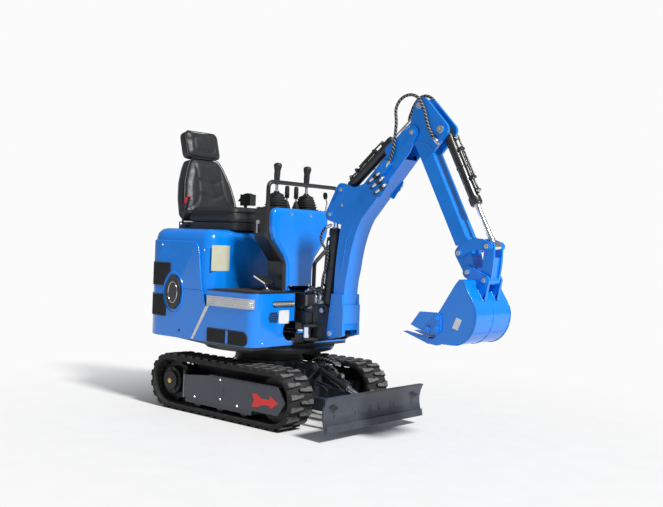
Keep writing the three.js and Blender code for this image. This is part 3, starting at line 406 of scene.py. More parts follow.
def make(name, kit, body, material, bevel=0.0, sharp=38, stands_for=()):
    mesh = meshed(name, kit)
    mesh.shade_smooth()
    mesh.set_sharp_from_angle(angle=math.radians(sharp))
    piece = placed(name, mesh)
    mesh.materials.append(material)
    if bevel:
        soften(piece, bevel)
    if body:
        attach(piece, body)
    if stands_for:
        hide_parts(*stands_for)
    return piece


def soften(piece, width, clamp=True):
    m = piece.modifiers.new("bevel", "BEVEL")
    m.width, m.segments, m.limit_method = width / 1000, 2, "ANGLE"
    m.angle_limit = math.radians(32)
    m.harden_normals = True
    m.use_clamp_overlap = clamp


# ---------------------------------------------------------------- CAD pieces
FINISH = (
    (BLUE, 2.0, "engine_hood service_cover tail_cover_left side_skirt_right side_skirt_left boom"
                " arm idler_link tipping_link bucket side_cutter_right side_cutter_left"),
    (DARK, 1.8, "carbody side_frame_right side_frame_left dozer_blade engine"),
    (BLACK, 1.4, "slew_frame floor_plate console_frame kingpost seat_pan belt_buckle belt_reel"
                 " cover_cap boom_cylinder_barrel arm_cylinder_barrel bucket_cylinder_barrel"
                 " blade_cylinder_barrel swing_cylinder_barrel"),
    (IRON, 1.6, "slew_ring sprocket_right sprocket_left idler_right idler_left"),
    (CHROME, 0.8, "boom_cylinder_rod arm_cylinder_rod bucket_cylinder_rod blade_cylinder_rod"
                  " swing_cylinder_rod foot_pedal"),
)
CLAMPED = ("tipping_link", "boom", "arm")  # a free bevel throws stray points on these
WELD_GAP = 0.00003
for material, width, names in FINISH:
    for name in names.split():
        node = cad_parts[name]
        mesh = node.data
        mesh.materials.clear()
        mesh.materials.append(material)
        if "custom_normal" in mesh.attributes:
            mesh.attributes.remove(mesh.attributes["custom_normal"])
        mesh.shade_smooth()
        node.modifiers.new("weld", "WELD").merge_threshold = WELD_GAP
        soften(node, width, clamp=name in CLAMPED)


# ---------------------------------------------------------------- tracks
def loop_point(s, depth):
    """The track's loop, s along its outside from the rear hub forward, and depth inwards."""
    straight, half = 2 * HUB_X, math.pi * BEND
    s %= 2 * (straight + half)
    r = BEND - depth
    if s < straight:
        return -HUB_X + s, depth
    if s < straight + half:
        a = -math.pi / 2 + (s - straight) / BEND
        return HUB_X + r * math.cos(a), BEND + r * math.sin(a)
    if s < 2 * straight + half:
        return HUB_X - (s - straight - half), TRACK_HIGH - depth
    a = math.pi / 2 + (s - 2 * straight - half) / BEND
    return -HUB_X + r * math.cos(a), BEND + r * math.sin(a)


LUG_PLAN = [(-19, 0), (19, 0), (17, 34), (8, 62), (14, 84), (6, 104), (-8, 100), (-12, 78),
            (-17, 44)]
LUG_START = 0.28


def track(side):
    """One belt with its lugs and drive teeth, and the lighter tops of the lugs: dust and a painted
    highlight.
    """
    whole = 2 * (2 * HUB_X + math.pi * BEND)
    pitch = whole / LUG_COUNT
    kit, tops = Kit(), Kit()
    inner = HALF_TRACK - SHOE_WIDE

    def at(s, across, depth):
        x, z = loop_point(s, depth)
        return x, side * (inner + across), z

    def inside(across, edge):
        return min(max(across, edge), SHOE_WIDE - edge)

    base = LUG_HIGH + BAND_THICK
    section = [(3, LUG_HIGH), (SHOE_WIDE - 3, LUG_HIGH), (SHOE_WIDE, LUG_HIGH + 4),
               (SHOE_WIDE, base - 6), (SHOE_WIDE - 8, base), (8, base), (0, base - 6),
               (0, LUG_HIGH + 4)]
    rounds = 200
    kit.rings([[at(whole * i / rounds, a, d) for a, d in section] for i in range(rounds)],
              loop=True)
    for i in range(2 * LUG_COUNT):
        mid = (LUG_START + i / 2) * pitch
        plan = LUG_PLAN if i % 2 == 0 else [(ds, SHOE_WIDE - a) for ds, a in LUG_PLAN]
        low = [at(mid + ds * 1.15, a, LUG_HIGH + 1) for ds, a in plan]
        high = [at(mid + ds * 0.9, inside(a, 3), 1.4) for ds, a in plan]
        top = [at(mid + ds * 0.74, inside(a + (3 if a < SHOE_WIDE / 2 else -3), 6), 0.4)
               for ds, a in plan]
        kit.rings([low, high, top])
        # a thin lighter cap on each lug top: dust with a painted highlight
        tops.rings([[at(mid + ds * 0.74, inside(a, 6), d) for ds, a in plan] for d in (0.8, 0.1)])
    for i in range(LUG_COUNT):
        mid = (i + LUG_START) * pitch
        gap = mid + pitch / 2
        for a in (12, SHOE_WIDE - 12):
            plate = rect(gap - 12, gap + 12, a - 10, a + 10)
            kit.rings([[at(s, w, depth) for s, w in plate]
                       for depth in (LUG_HIGH + 1, LUG_HIGH - 4)])
        x, z = loop_point(mid, base)
        if z > TRACK_HIGH * 0.3:
            for a in (44, 128):
                pad = rect(mid - 13, mid + 13, a, a + 12)
                top = rect(mid - 8, mid + 8, a + 2, a + 10)
                kit.rings([[at(s, w, base - 1) for s, w in pad],
                           [at(s, w, base + 13) for s, w in top]])
    return kit, tops


for side, word in ((-1, "right"), (1, "left")):
    belt, tops = track(side)
    make(f"tread_{word}", belt, "undercarriage", TREAD, sharp=30,
         stands_for=[f"track_{word}"])
    make(f"tread_tops_{word}", tops, "undercarriage", LUG_DUST_AND_HIGHLIGHT)

    bolts, covers, arrow, rim = Kit(), Kit(), Kit(), Kit()
    face = side * FRAME_FACE
    out = (0, side, 0)
    for x, z in ((36, 232), (42, 122), (-184, 105), (184, 102)):
        bolts.bolt((x, face, z), out, 6)
    covers.prism(rounded(rect(5, 67, 118, 228), 30, 8), "y",
                 face - side, face + side * 2)
    edge = Kit().prism(rect(-291, -283, 88, 226), "y", side * 345,
                       side * 431)
    webs = Kit().prism([(-330, 200), (400, 200), (430, 292), (-400, 292)], "y", side * 272,
                       side * 282)
    webs.prism(rect(-300, -283, 92, 250), "y", side * 300, side * 425)
    covers.prism(rect(-60, 505, 246, 251), "y", side * 372, side * 429)
    arrow.prism([(302, 188), (338, 195), (376, 172), (436, 171), (446, 194), (507, 161),
                 (450, 124), (439, 140), (382, 137), (350, 121), (301, 117), (320, 154)],
                "y", face - side * 0.4, face + side * 0.6)
    for a in around(9, 0.5):
        webs.bolt((-HUB_X + 70 * math.cos(a), side * 394, BEND + 70 * math.sin(a)), out, 5.5)
    for a in around(6):
        bolts.bolt((HUB_X + 30 * math.cos(a), side * 415.7, BEND + 30 * math.sin(a)), out, 4.5)
    rim.lathe((-HUB_X, side * 409.5, BEND), out,
              [(0, 17), (5, 17), (7, 14), (7, 9), (11, 9), (12, 7)], 24)
    rim.lathe((HUB_X, side * 415.2, BEND), out, [(0, 14), (4, 14), (6, 11), (6, 5), (8, 5)], 20)
    make(f"frame_bolts_{word}", bolts, "undercarriage", STEEL)
    make(f"frame_edge_{word}", edge, "undercarriage", EDGE, bevel=1.0)
    make(f"frame_webs_{word}", webs, "undercarriage", IRON, bevel=0.8)
    make(f"frame_plates_{word}", covers, "undercarriage", DARK, bevel=1.0)
    make(f"arrow_{word}", arrow, "undercarriage", RED)
    make(f"hub_nuts_{word}", rim, "undercarriage", BRASS)


# ---------------------------------------------------------------- skins of the house
def tail(s, out=0.0, side=-1):
    """The tail's skin, s from the seat box's front, round to the rear."""
    straight, corner, radius = 439.6, 170, 778
    turn = math.radians(64.68)
    bend = corner * turn
    if s < straight:
        x, y = HOOD_FRONT - s, -HOUSE_HALF - out
    elif s < straight + bend:
        a = math.radians(270) - (s - straight) / corner
        x = HOOD_FRONT - straight + (corner + out) * math.cos(a)
        y = corner - HOUSE_HALF + (corner + out) * math.sin(a)
    else:
        a = math.radians(270) - turn - (s - straight - bend) / radius
        x, y = (radius + out) * math.cos(a), (radius + out) * math.sin(a)
    return x, -side * y


def skirt(s, out=0.0, side=-1):
    """The front skirt's skin, s from its rear end, round the corner to the front face."""
    rear, straight, corner = -105, 333, 62
    bend = corner * math.pi / 2
    if s < straight:
        x, y = rear + s, -HOUSE_HALF - out
    elif s < straight + bend:
        a = -math.pi / 2 + (s - straight) / corner
        x = rear + straight + (corner + out) * math.cos(a)
        y = corner - HOUSE_HALF + (corner + out) * math.sin(a)
    else:
        x, y = NOSE_FRONT + out, corner - HOUSE_HALF + (s - straight - bend)
    return x, -side * y


def on(path, s, z, out, side):
    x, y = path(s, out, side)
    return x, y, z


def slab(kit, path, side, lows, highs, zs, inner, outer, columns=24):
    """A curved sheet between two edges given at each height."""
    rows = []
    for depth in (inner, outer):
        for z, low, high in zip(zs, lows, highs):
            rows.append([on(path, low + (high - low) * k / columns, z, depth, side)
                         for k in range(columns + 1)])
    n, m = len(zs), columns + 1
    flat = [v for row in rows for v in row]
    faces = []
    for layer in (0, 1):
        for r in range(n - 1):
            for c in range(m - 1):
                a = layer * n * m + r * m + c
                faces.append((a, a + 1, a + m + 1, a + m))
    edge = ([(0, c) for c in range(m)] + [(r, m - 1) for r in range(1, n)]
            + [(n - 1, c) for c in range(m - 2, -1, -1)] + [(r, 0) for r in range(n - 2, 0, -1)])
    ids = [r * m + c for r, c in edge]
    for a, b in zip(ids, ids[1:] + ids[:1]):
        faces.append((a, b, b + n * m, a + n * m))
    kit.add(flat, faces)


def grille(name, path, side, body, zs, low_at, high_at, pitch=9.0):
    """A woven screen in a raised frame, over a dark sheet that is painted shade for the hollow
    behind the screen.
    """
    wires, back, rim = Kit(), Kit(), Kit()
    lows, highs = [low_at(z) for z in zs], [high_at(z) for z in zs]
    # painted shade: the dark sheet on the cover stands for the shaded hollow behind the screen
    slab(back, path, side, lows, highs, zs, 0.2, 1.2)
    for k in range(1, int((zs[-1] - zs[0]) / pitch)):
        z = zs[0] + k * pitch
        a, b = low_at(z), high_at(z)
        count = max(2, int((b - a) / 14))
        wires.tube([on(path, a + (b - a) * i / count, z, 2.4, side) for i in range(count + 1)],
                   1.5, 5, 0)
    first, last = min(lows), max(highs)
    for k in range(1, int((last - first) / pitch)):
        s = first + k * pitch
        inside = [z for z in np.linspace(zs[0], zs[-1], 60) if low_at(z) <= s <= high_at(z)]
        if len(inside) > 2:
            wires.tube([on(path, s, inside[0], 3.2, side), on(path, s, inside[-1], 3.2, side)],
                       1.5, 5, 0)
    border = [(low_at(z), z) for z in np.linspace(zs[0], zs[-1], 14)]
    border += [(s, zs[-1]) for s in np.linspace(low_at(zs[-1]), high_at(zs[-1]), 18)[1:]]
    border += [(high_at(z), z) for z in np.linspace(zs[-1], zs[0], 8)[1:]]
    border += [(s, zs[0]) for s in np.linspace(high_at(zs[0]), low_at(zs[0]), 18)[1:-1]]
    rim.tube([on(path, s, z, 2.0, side) for s, z in border], 3.6, 8, 0, loop=True)
    make(f"{name}_screen", wires, body, PLASTIC)
    make(f"{name}_back", back, body, IRON)
    make(f"{name}_rim", rim, body, PLASTIC)


def cap_edge(least):
    """Where a grille starts: round the oval cap's edge, at least this far from its middle."""
    def low(z):
        rise = 1 - ((z - CAP_CENTRE[1]) / 134) ** 2
        return 304 + max(least, 100 * math.sqrt(max(0.0, rise)))
    return low


def corner_cut(z0, z1, high, size=22):
    """Where a grille ends, with its two corners rounded by size."""
    def end(z):
        short = max(0, size - min(z - z0, z1 - z))
        return high - (size - math.sqrt(max(0.0, size ** 2 - short ** 2)))
    return end


for side, word, body in ((-1, "right", "cover"), (1, "left", "house")):
    grille(f"tail_grille_upper_{word}", tail, side, body, list(np.linspace(752, 890, 12)),
           cap_edge(36), corner_cut(752, 890, 640))
    grille(f"tail_grille_lower_{word}", tail, side, body, list(np.linspace(565, 694, 12)),
           cap_edge(71), corner_cut(565, 694, 640))
    grille(f"skirt_vent_{word}", skirt, side, "house", list(np.linspace(446, 524, 8)),
           lambda z: 16, corner_cut(446, 524, 350, 30), 7.5)

    trim, cells, lens, seams, bars = Kit(), Kit(), Kit(), Kit(), Kit()
    slab(trim, skirt, side, [2] * 4, [387] * 4, list(np.linspace(660, 712, 4)), 0.2, 3.0, 60)
    for k in range(40):
        for row in range(4):
            s, z = 9 + k * 9.4 + (row % 2) * 4.7, 668 + row * 12
            if s > 380:
                continue
            x, y = skirt(s, 2.6, side)
            x2, y2 = skirt(s, 12, side)
            cells.lathe((x, y, z), (x2 - x, y2 - y, 0), [(0, 4.6), (1.6, 3.2), (2.6, 1.0)], 8)
    slab(lens, skirt, side, [1] * 2, [388] * 2, [657, 660], 0.2, 6.0, 60)
    slab(lens, skirt, side, [1] * 2, [388] * 2, [712, 715], 0.2, 6.0, 60)
    bars.prism(rect(70, 90, 446, 524), "y", side * 430.2, side * 435)
    for s0, s1 in ((0, 300), (410, 960)):
        slab(seams, tail, side, [s0] * 2, [s1] * 2, [740.1, 741.9], 0.05, 0.5, 60)
    make(f"side_strip_{word}", trim, "house", SILVER)
    make(f"side_strip_cells_{word}", cells, "house", SILVER)
    make(f"side_strip_edges_{word}", lens, "house", STEEL)
    make(f"skirt_vent_bar_{word}", bars, "house", BLUE, bevel=1.2)
    make(f"tail_seam_{word}", seams, body, IRON)

    sill = Kit().prism([(-79, 656), (-112, 652), (-236, 446), (-214, 446)], "y", side * 430.3,
                       side * 433.5)
    make(f"sill_strip_{word}", sill, "house" if side > 0 else "cover", STEEL, bevel=0.8)

cap, bead, hole = Kit(), Kit(), Kit()
cx, cz = CAP_CENTRE
cap.tube([(x, -437.6, z) for x, z in oval(cx, cz, 42, 63, 56)], 2.0, 8, 0, loop=True)
bead.tube([(x, -430.6, z) for x, z in oval(cx, cz, 90, 124, 56)], 4.5, 8, 0, loop=True)
hole.tube([(x, -437.2, z) for x, z in oval(cx, cz, 54, 81)], 1.5, 6, 0, loop=True)
hole.tube([(x, -437.2, z) for x, z in oval(cx, cz, 68, 101, 56)], 2.4, 8, 0, loop=True)
hole.lathe((-349, -430.1, 487), (0, -1, 0), [(0, 9), (1.2, 9), (1.2, 6), (0.4, 6)], 20)
make("cap_rings", cap, "cover", CHROME)
make("cap_bead", bead, "cover", BLUE)
make("cap_dots", hole, "cover", PLASTIC)
cover_bolts = Kit()
for s, z in ((30, 980), (420, 1000), (700, 1000), (900, 1000), (900, 480), (700, 480)):
    x, y = tail(s, 0.2)
    x2, y2 = tail(s, 10)
    cover_bolts.bolt((x, y, z), (x2 - x, y2 - y, 0), 5)
make("cover_bolts", cover_bolts, "cover", STEEL)

# ---------------------------------------------------------------- front face of the house
lamp, cells, lens, plate, slats, screws = Kit(), Kit(), Kit(), Kit(), Kit(), Kit()
X = NOSE_FRONT
for side in (-1, 1):
    lamp.prism(rounded(rect(side * 277, side * 97, 668, 702), 15), "x", X + 0.2, X + 3)
    for k in range(13):
        y = side * (104 + k * 13.8)
        cells.lathe((X + 2.6, y, 685), (1, 0, 0),
                    [(0, 6.2), (1.4, 5.6), (2.6, 3.4), (3.0, 0.5)], 14)
    lens.prism(rounded(rect(side * 273, side * 101, 672, 698), 12), "x", X + 6, X + 8)
    # painted shade: the dark bars stand for the shaded slots of a round vent on each side
    for k in range(6):
        z = 585 + k * 10.2
        reach = math.sqrt(max(0.0, 40 ** 2 - (z - 610) ** 2))
        slat = rect(side * 268 - reach, side * 268 + reach, z - 2.6, z + 2.6)
        slats.prism(rounded(slat, 2.4, 3), "x", X - 0.5, X + 3.4)
make("lamp_slot", lamp, "house", IRON, bevel=0.6)
make("lamp_cells", cells, "house", LED)
make("lamp_lens", lens, "house", LENS)
plate.prism(rounded(rect(-224, -139, 571, 648), 5), "x", X + 0.2, X + 1.2)
make("blank_plate", plate, "house", LABEL)
make("front_louvre_shade", slats, "house", IRON)
for y, z in ((-218, 577), (-145, 577), (-145, 642), (-218, 642)):
    screws.lathe((X + 1, y, z), (1, 0, 0), [(0, 3.4), (1, 3.2), (1.8, 2)], 12)
for y in (-350, -120, 120, 350):
    screws.bolt((X, y, 460), (1, 0, 0), 5)
make("front_screws", screws, "house", STEEL)
shield = Kit().prism(rounded(rect(-56, 56, 672, 738), 8), "x", 338, 343)
make("nose_cover", shield, "house", GREY, bevel=1.0)
label = Kit().prism(rounded(rect(-400, -257, 858, 1011), 6), "x", HOOD_FRONT + 0.1,
            HOOD_FRONT + 0.7)
make("seat_box_label", label, "house", PALE)
box_trim = Kit()
for y in (-150, 150):
    box_trim.prism(rounded(rect(y - 70, y + 70, 800, 1010), 14), "x",
                   HOOD_FRONT - 0.4, HOOD_FRONT + 1.6)
make("seat_box_panels", box_trim, "house", BLUE, bevel=1.0)

# ---------------------------------------------------------------- floor mat
mat_kit, studs = Kit(), Kit()
for y0, y1 in ((-405, -130), (130, 405)):
    mat_kit.prism(rounded(rect(-96, 262, y0, y1), 14), "z", FLOOR_TOP + 0.1, FLOOR_TOP + 3)
    for x in range(-84, 250, 15):
        studs.prism(rect(x, x + 7, y0 + 12, y1 - 12), "z",
                    FLOOR_TOP + 2.5, FLOOR_TOP + 5.2)
mat_kit.prism(rect(-96, 88, -131, 131), "z", FLOOR_TOP + 0.1, FLOOR_TOP + 3)
make("floor_mat", mat_kit, "house", MAT, bevel=0.8)
make("floor_mat_ribs", studs, "house", MAT, bevel=0.7)

# ---------------------------------------------------------------- console
HALF, FOOT_HALF, SHOULDER, WAIST = 245, 115, 1075, 928
FACE_TOP = 1245
console = [(-FOOT_HALF, FLOOR_TOP + 0.4), (FOOT_HALF, FLOOR_TOP + 0.4), (FOOT_HALF, WAIST),
           (HALF, SHOULDER), (HALF, FACE_TOP), (-HALF, FACE_TOP), (-HALF, SHOULDER),
           (-FOOT_HALF, WAIST)]
shell_outline = rounded(console, [8, 8, 60, 60, 55, 55, 60, 60], 8)
layers = ((204.3, 1), (207, 0), (220, 0), (227, 3), (232.5, 8), (236, 15), (237.8, 24), (238.2, 34))
cover_kit = Kit().rings([[(x, y, z) for y, z in shrunk(shell_outline, inset)]
                         for x, inset in layers])
make("console_face", cover_kit, "house", BLUE, sharp=50,
     stands_for=["console_cover"])
trim = Kit()
for y, z in ((-92, 1212), (76, 1212), (-80, 790), (80, 790)):
    trim.lathe((237.6, y, z), (1, 0, 0), [(0, 9.5), (1.8, 9.5), (2.4, 8), (2.4, 4.2), (1.4, 4)], 20)
    trim.lathe((238.6, y, z), (1, 0, 0), [(0, 4), (2, 4), (2.6, 3)], 6)
make("console_screws", trim, "house", STEEL)


def bends(corners, radius, steps=8):
    """The corners of a bent tube, each rounded."""
    pts = [Vector(c) for c in corners]
    out = [pts[0]]
    for a, b, c in zip(pts, pts[1:], pts[2:]):
        back, ahead = (a - b).normalized(), (c - b).normalized()
        reach = radius / math.tan(back.angle(ahead) / 2)
        enter, leave = b + back * reach, b + ahead * reach
        out += [enter * (1 - t) ** 2 + b * 2 * t * (1 - t) + leave * t * t
                for t in (k / steps for k in range(steps + 1))]
    return [*out, pts[-1]]


RAIL_X, RAIL_TOP, RAIL_FOOT = 229, 1392, FOOT_HALF + 19.5
corners = [(RAIL_X, -RAIL_FOOT, 751.3), (RAIL_X, -RAIL_FOOT, WAIST - 6), (RAIL_X, -285, SHOULDER),
           (RAIL_X, -285, RAIL_TOP), (RAIL_X, 330, RAIL_TOP), (RAIL_X, 330, SHOULDER),
           (RAIL_X, RAIL_FOOT, WAIST - 6), (RAIL_X, RAIL_FOOT, 751.3)]
rail = Kit()
rail.tube(bends(corners, 44), 12.5, 20, 0)
for s in (-1, 1):
    foot = rect(RAIL_X - 24, RAIL_X + 24, s * RAIL_FOOT - 20, s * RAIL_FOOT + 20)
    rail.prism(rounded(foot, 8), "z", 751.2, 757)
    for x in (RAIL_X - 16, RAIL_X + 16):
        rail.bolt((x, s * (RAIL_FOOT + 12), 756.5), (0, 0, 1), 4, False)
make("hand_rail", rail, "house", BLACK, stands_for=["handrail"])
side_box, key, dial = Kit(), Kit(), Kit()
side_box.prism(rounded(rect(84, 194, 1112, 1204), 12), "y", -243.5, -247)
key.lathe((116, -246.5, 1157), (0, -1, 0), [(0, 14), (5, 14), (7, 12), (7, 6), (9, 6)], 24)
key.prism(rounded(rect(111, 121, 1092, 1140), 4), "y", -257, -254)
key.tube([(116, -255.5, 1157), (116, -260, 1146), (116, -256, 1136)], 2.2, 8)
dial.lathe((166, -246.6, 1165), (0, -1, 0),
           [(0, 17), (3, 17), (4.5, 15), (3.4, 14), (3.2, 0.1)], 30)
make("side_panel", side_box, "house", PLASTIC, bevel=1.0)
make("ignition_key", key, "house", STEEL, bevel=0.4)
make("hour_dial", dial, "house", PLASTIC)

deck, boots = Kit(), Kit()
deck.prism(rounded(rect(76, 204, -233, 233), 14), "z", DECK_TOP - 10, DECK_TOP)
for y in (-215, -80, 80, 215):
    for x in (88, 192):
        deck.bolt((x, y, DECK_TOP), (0, 0, 1), 3.6, False)


def bellows(kit, x, y, z, foot, neck, high, folds, square):
    """A folded boot; square blends its section from round towards square."""
    rings = []
    steps = folds * 6
    for i in range(steps + 1):
        share = i / steps
        r = foot + (neck - foot) * share ** 1.4
        r += (0.085 * foot) * (1 - 0.55 * share) * math.cos(TURN * share * folds)
        ring = []
        for a in around(36):
            c, s = math.cos(a), math.sin(a)
            power = 2 + 2.2 * square * (1 - share)
            scale = (abs(c) ** power + abs(s) ** power) ** (-1 / power)
            ring.append((x + r * scale * c, y + r * scale * s, z + high * share))
        rings.append(ring)
    kit.rings(rings)


for side in (-1, 1):
    y = side * STICK_HALF
    base = rounded(rect(STICK_X - 60, STICK_X + 60, y - 62, y + 62), 22)
    boots.prism(base, "z", DECK_TOP - 0.5, DECK_TOP + 5)
    bellows(boots, STICK_X, y, DECK_TOP + 3, 58, 43, 76, 5, 1.0)
    boots.lathe((STICK_X, y, DECK_TOP + 78), (0, 0, 1),
                [(0, 44), (4, 42), (9, 30), (14, 19), (22, 15), (24, 9)], 28)
    bellows(boots, STICK_X, side * TRAVEL_HALF, DECK_TOP, 22, 9, 46, 4, 0.3)
make("lever_boots", boots, "house", RUBBER, stands_for=["control_deck"])
make("deck_plate", deck, "house", BLACK, bevel=1.0)


def grip(kit, x, y, z0, z1):
    """A grip from oval sections."""
    kit.rings([[(x + dx + half_x * math.cos(a), y + half_y * math.sin(a), z0 + (z1 - z0) * share)
                for a in around(24)] for share, dx, half_x, half_y in STATIONS])


# height share, x offset, half length, half width
STATIONS = [(0, 0, 13, 13), (0.04, 0, 17, 17), (0.09, 0, 17, 17), (0.14, 0, 14, 14),
            (0.2, 0, 17, 16), (0.35, -1, 19, 17.5), (0.5, 0, 19.5, 18), (0.62, 1, 19, 18),
            (0.74, 2, 23, 20), (0.84, 3, 26, 23), (0.93, 3, 25, 23), (0.98, 3, 20, 18),
            (1.0, 3, 12, 11)]
for side, word in ((-1, "right"), (1, "left")):
    y = side * STICK_HALF
    rod, handle, detail = Kit(), Kit(), Kit()
    rod.tube([(STICK_X, y, 1331), (STICK_X, y, 1390)], 8.5, 16, 0)
    rod.lathe((STICK_X, y, 1340), (0, 0, 1), [(0, 13), (10, 13), (12, 10)], 6)
    grip(handle, STICK_X, y, 1386, 1514)
    for k in range(4):
        handle.lathe((STICK_X - 17, y, 1418 + k * 13), (-1, 0, 0),
                     [(0, 7), (3.2, 6), (4.4, 3)], 12)
    detail.lathe((STICK_X + 2, y, 1512), (0, 0, 1), [(0, 9), (2.6, 9), (3.6, 7)], 20)
    detail.lathe((STICK_X + 24, y, 1488), (1, 0, 0), [(0, 7), (4, 6), (5, 3)], 14)
    make(f"stick_grip_{word}", handle, "house", PLASTIC,
         stands_for=[f"joystick_{word}"])
    make(f"stick_rod_{word}", rod, "house", STEEL)
    make(f"stick_buttons_{word}", detail, "house", RUBBER)

    y = side * TRAVEL_HALF
    rod, handle = Kit(), Kit()
    rod.tube([(STICK_X, y, 1289), (STICK_X, y, 1330)], 5.5, 12, 0)
    profile = [(0, 9)]
    for k in range(7):
        profile += [(3 + k * 9, 14.5), (7.5 + k * 9, 14.5), (9.5 + k * 9, 12.5)]
    handle.lathe((STICK_X, y, 1310), (0, 0, 1), [*profile, (68, 13.5), (73, 11), (75, 6)], 22)
    make(f"travel_grip_{word}", handle, "house", RUBBER,
         stands_for=[f"travel_lever_{word}"])
    make(f"travel_rod_{word}", rod, "house", STEEL)

LEVER_X, LEVER_Y = STICK_X + 32, 275.3
rod, knob = Kit(), Kit()
rod.tube([(LEVER_X, LEVER_Y, 1240), (LEVER_X, LEVER_Y + 8, 1268), (LEVER_X + 4, LEVER_Y + 10, 1300),
          (LEVER_X, LEVER_Y - 2, 1334)], 4.2, 10)
rod.lathe((LEVER_X, LEVER_Y, 1242), (0, 0, 1), [(0, 9), (5, 9), (8, 6)], 16)
bracket = rect(LEVER_X - 14, LEVER_X + 14, 233.5, 288)
rod.prism(rounded(bracket, 5), "z", 1237.5, 1245)
knob.lathe((LEVER_X, LEVER_Y, 1322), (0, -0.12, 1),
           [(0, 7), (4, 11), (14, 14), (28, 14.5), (38, 12), (43, 6)], 22)
make("blade_lever_rod", rod, "house", STEEL, stands_for=["blade_lever"])
make("blade_lever_knob", knob, "house", PLASTIC)
pad = Kit()
for k in range(5):
    x, z = 112 + k * 17, FLOOR_TOP + 91 - k * 7.2
    pad.box(x, x + 6, -245, -165, z, z + 3)
make("pedal_treads", pad, "house", RUBBER, bevel=0.6)

# ---------------------------------------------------------------- seat
COS, SIN = math.cos(LEAN), math.sin(LEAN)


def lean(w, u, v):
    """A point of the leaning backrest: w out of its face, u across, v up."""
    return w * COS - v * SIN + SEAT_BACK, u, w * SIN + v * COS + PAN_TOP + 28


def loft(at, outline, layers):
    """A closed body from layers of (level, inset) over an outline."""
    return Kit().rings([[at(level, p) for p in shrunk(outline, inset)] for level, inset in layers])


def remeshed(kit, voxel):
    draft = placed("draft", meshed("draft", kit))
    m = draft.modifiers.new("even", "REMESH")
    m.mode, m.voxel_size = "VOXEL", voxel
    bpy.context.view_layer.update()
    graph = bpy.context.evaluated_depsgraph_get()
    out = bpy.data.meshes.new_from_object(draft.evaluated_get(graph))
    bpy.data.objects.remove(draft)
    return out


def move(mesh, places):
    mesh.vertices.foreach_set("co", places.astype(np.float32).ravel())
    mesh.update()


PILLOW_FRAMES = 20
QUICK_VOXEL, FINE_VOXEL = 0.008, 0.0055
SEAM_STEP, SEAM_DEPTH, SEAM_WIDE = 0.006, 0.0065, 0.009
STITCH_ASIDE, STITCH_SUNK = 0.0035, 0.0052


def inflate(mesh, held, pressure, cap):
    """Cloth simulation with air pressure; held(co) marks what stays; cap limits the move."""
    start = np.array([v.co for v in mesh.vertices])
    body = placed("pillow", mesh)
    group = body.vertex_groups.new(name="held")
    group.add([i for i, co in enumerate(start) if held(co)], 1.0, "REPLACE")
    cloth = body.modifiers.new("cloth", "CLOTH")
    settings = cloth.settings
    settings.use_pressure = True
    settings.uniform_pressure_force = pressure
    settings.effector_weights.gravity = 0
    settings.vertex_group_mass = "held"
    settings.tension_stiffness = settings.compression_stiffness = 30
    settings.quality = 4
    cloth.collision_settings.use_collision = False
    cloth.point_cache.frame_start, cloth.point_cache.frame_end = 1, PILLOW_FRAMES
    for f in range(1, PILLOW_FRAMES + 1):
        scene.frame_set(f)
    moved = body.evaluated_get(bpy.context.evaluated_depsgraph_get())
    after = np.array([v.co for v in moved.data.vertices])
    scene.frame_set(1)
    bpy.data.objects.remove(body)
    step = after - start
    size = np.linalg.norm(step, axis=1, keepdims=True)
    step *= np.minimum(1.0, cap / np.maximum(size, 1e-9))
    move(mesh, start + step)


def groove(mesh, lines, depth, wide):
    """Presses soft valleys into the mesh along polylines in the row frame."""
    co = np.array([v.co for v in mesh.vertices])
    normals = np.array([v.normal for v in mesh.vertices])
    push = np.zeros(len(co))
    for line in lines:
        near = np.full(len(co), 1e9)
        for a, b in zip(line, line[1:]):
            a, b = np.array(a), np.array(b)
            d = b - a
            t = np.clip(((co - a) @ d) / (d @ d), 0, 1)
            near = np.minimum(near, np.linalg.norm(co - a - t[:, None] * d, axis=1))
        push = np.maximum(push, depth * np.exp(-((near / wide) ** 2)))
    move(mesh, co - normals * push[:, None])


def cushion(name, kit, node, facing, held, seams, piping, cap):
    """A padded piece: even mesh, inflated, with seams pressed in and stitched."""
    mesh = remeshed(kit, FINE_VOXEL)
    inflate(mesh, held, 4.0, cap)
    tree = BVHTree.FromPolygons([v.co for v in mesh.vertices],
                                [p.vertices for p in mesh.polygons])

    def onto(line):
        path = even(spline([P(*q) for q in line], 4), SEAM_STEP)
        hits = [tree.ray_cast(p + facing * 0.2, -facing)[0] for p in path]
        return [hit for hit in hits if hit is not None]

    lines = [onto(line) for line in seams]
    groove(mesh, lines, SEAM_DEPTH, SEAM_WIDE)
    mesh.shade_smooth()
    mesh.materials.clear()
    mesh.materials.append(VINYL)
    piece = placed(name, mesh)
    smooth = piece.modifiers.new("smooth", "CORRECTIVE_SMOOTH")
    smooth.factor, smooth.iterations, smooth.use_only_smooth = 0.5, 6, True
    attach(piece, "house")
    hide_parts(node)
    stitches, cords = Kit(), Kit()
    for line in lines:
        for shift in (-STITCH_ASIDE, STITCH_ASIDE):
            for a, b in zip(line, line[1:]):
                sink = (b - a).cross(facing).normalized() * shift - facing * STITCH_SUNK
                ends = [back_to_machine(a.lerp(b, share) + sink) for share in (0.2, 0.75)]
                stitches.tube(ends, 0.7, 5, 0)
    for line in piping:
        cords.tube(line, 3.2, 8, 3, loop=True)
    make(f"{name}_stitches", stitches, "house", THREAD)
    make(f"{name}_piping", cords, "house", VINYL)


def back_to_machine(p):
    return p.x * 1000 + ORIGIN_X, p.y * 1000, p.z * 1000


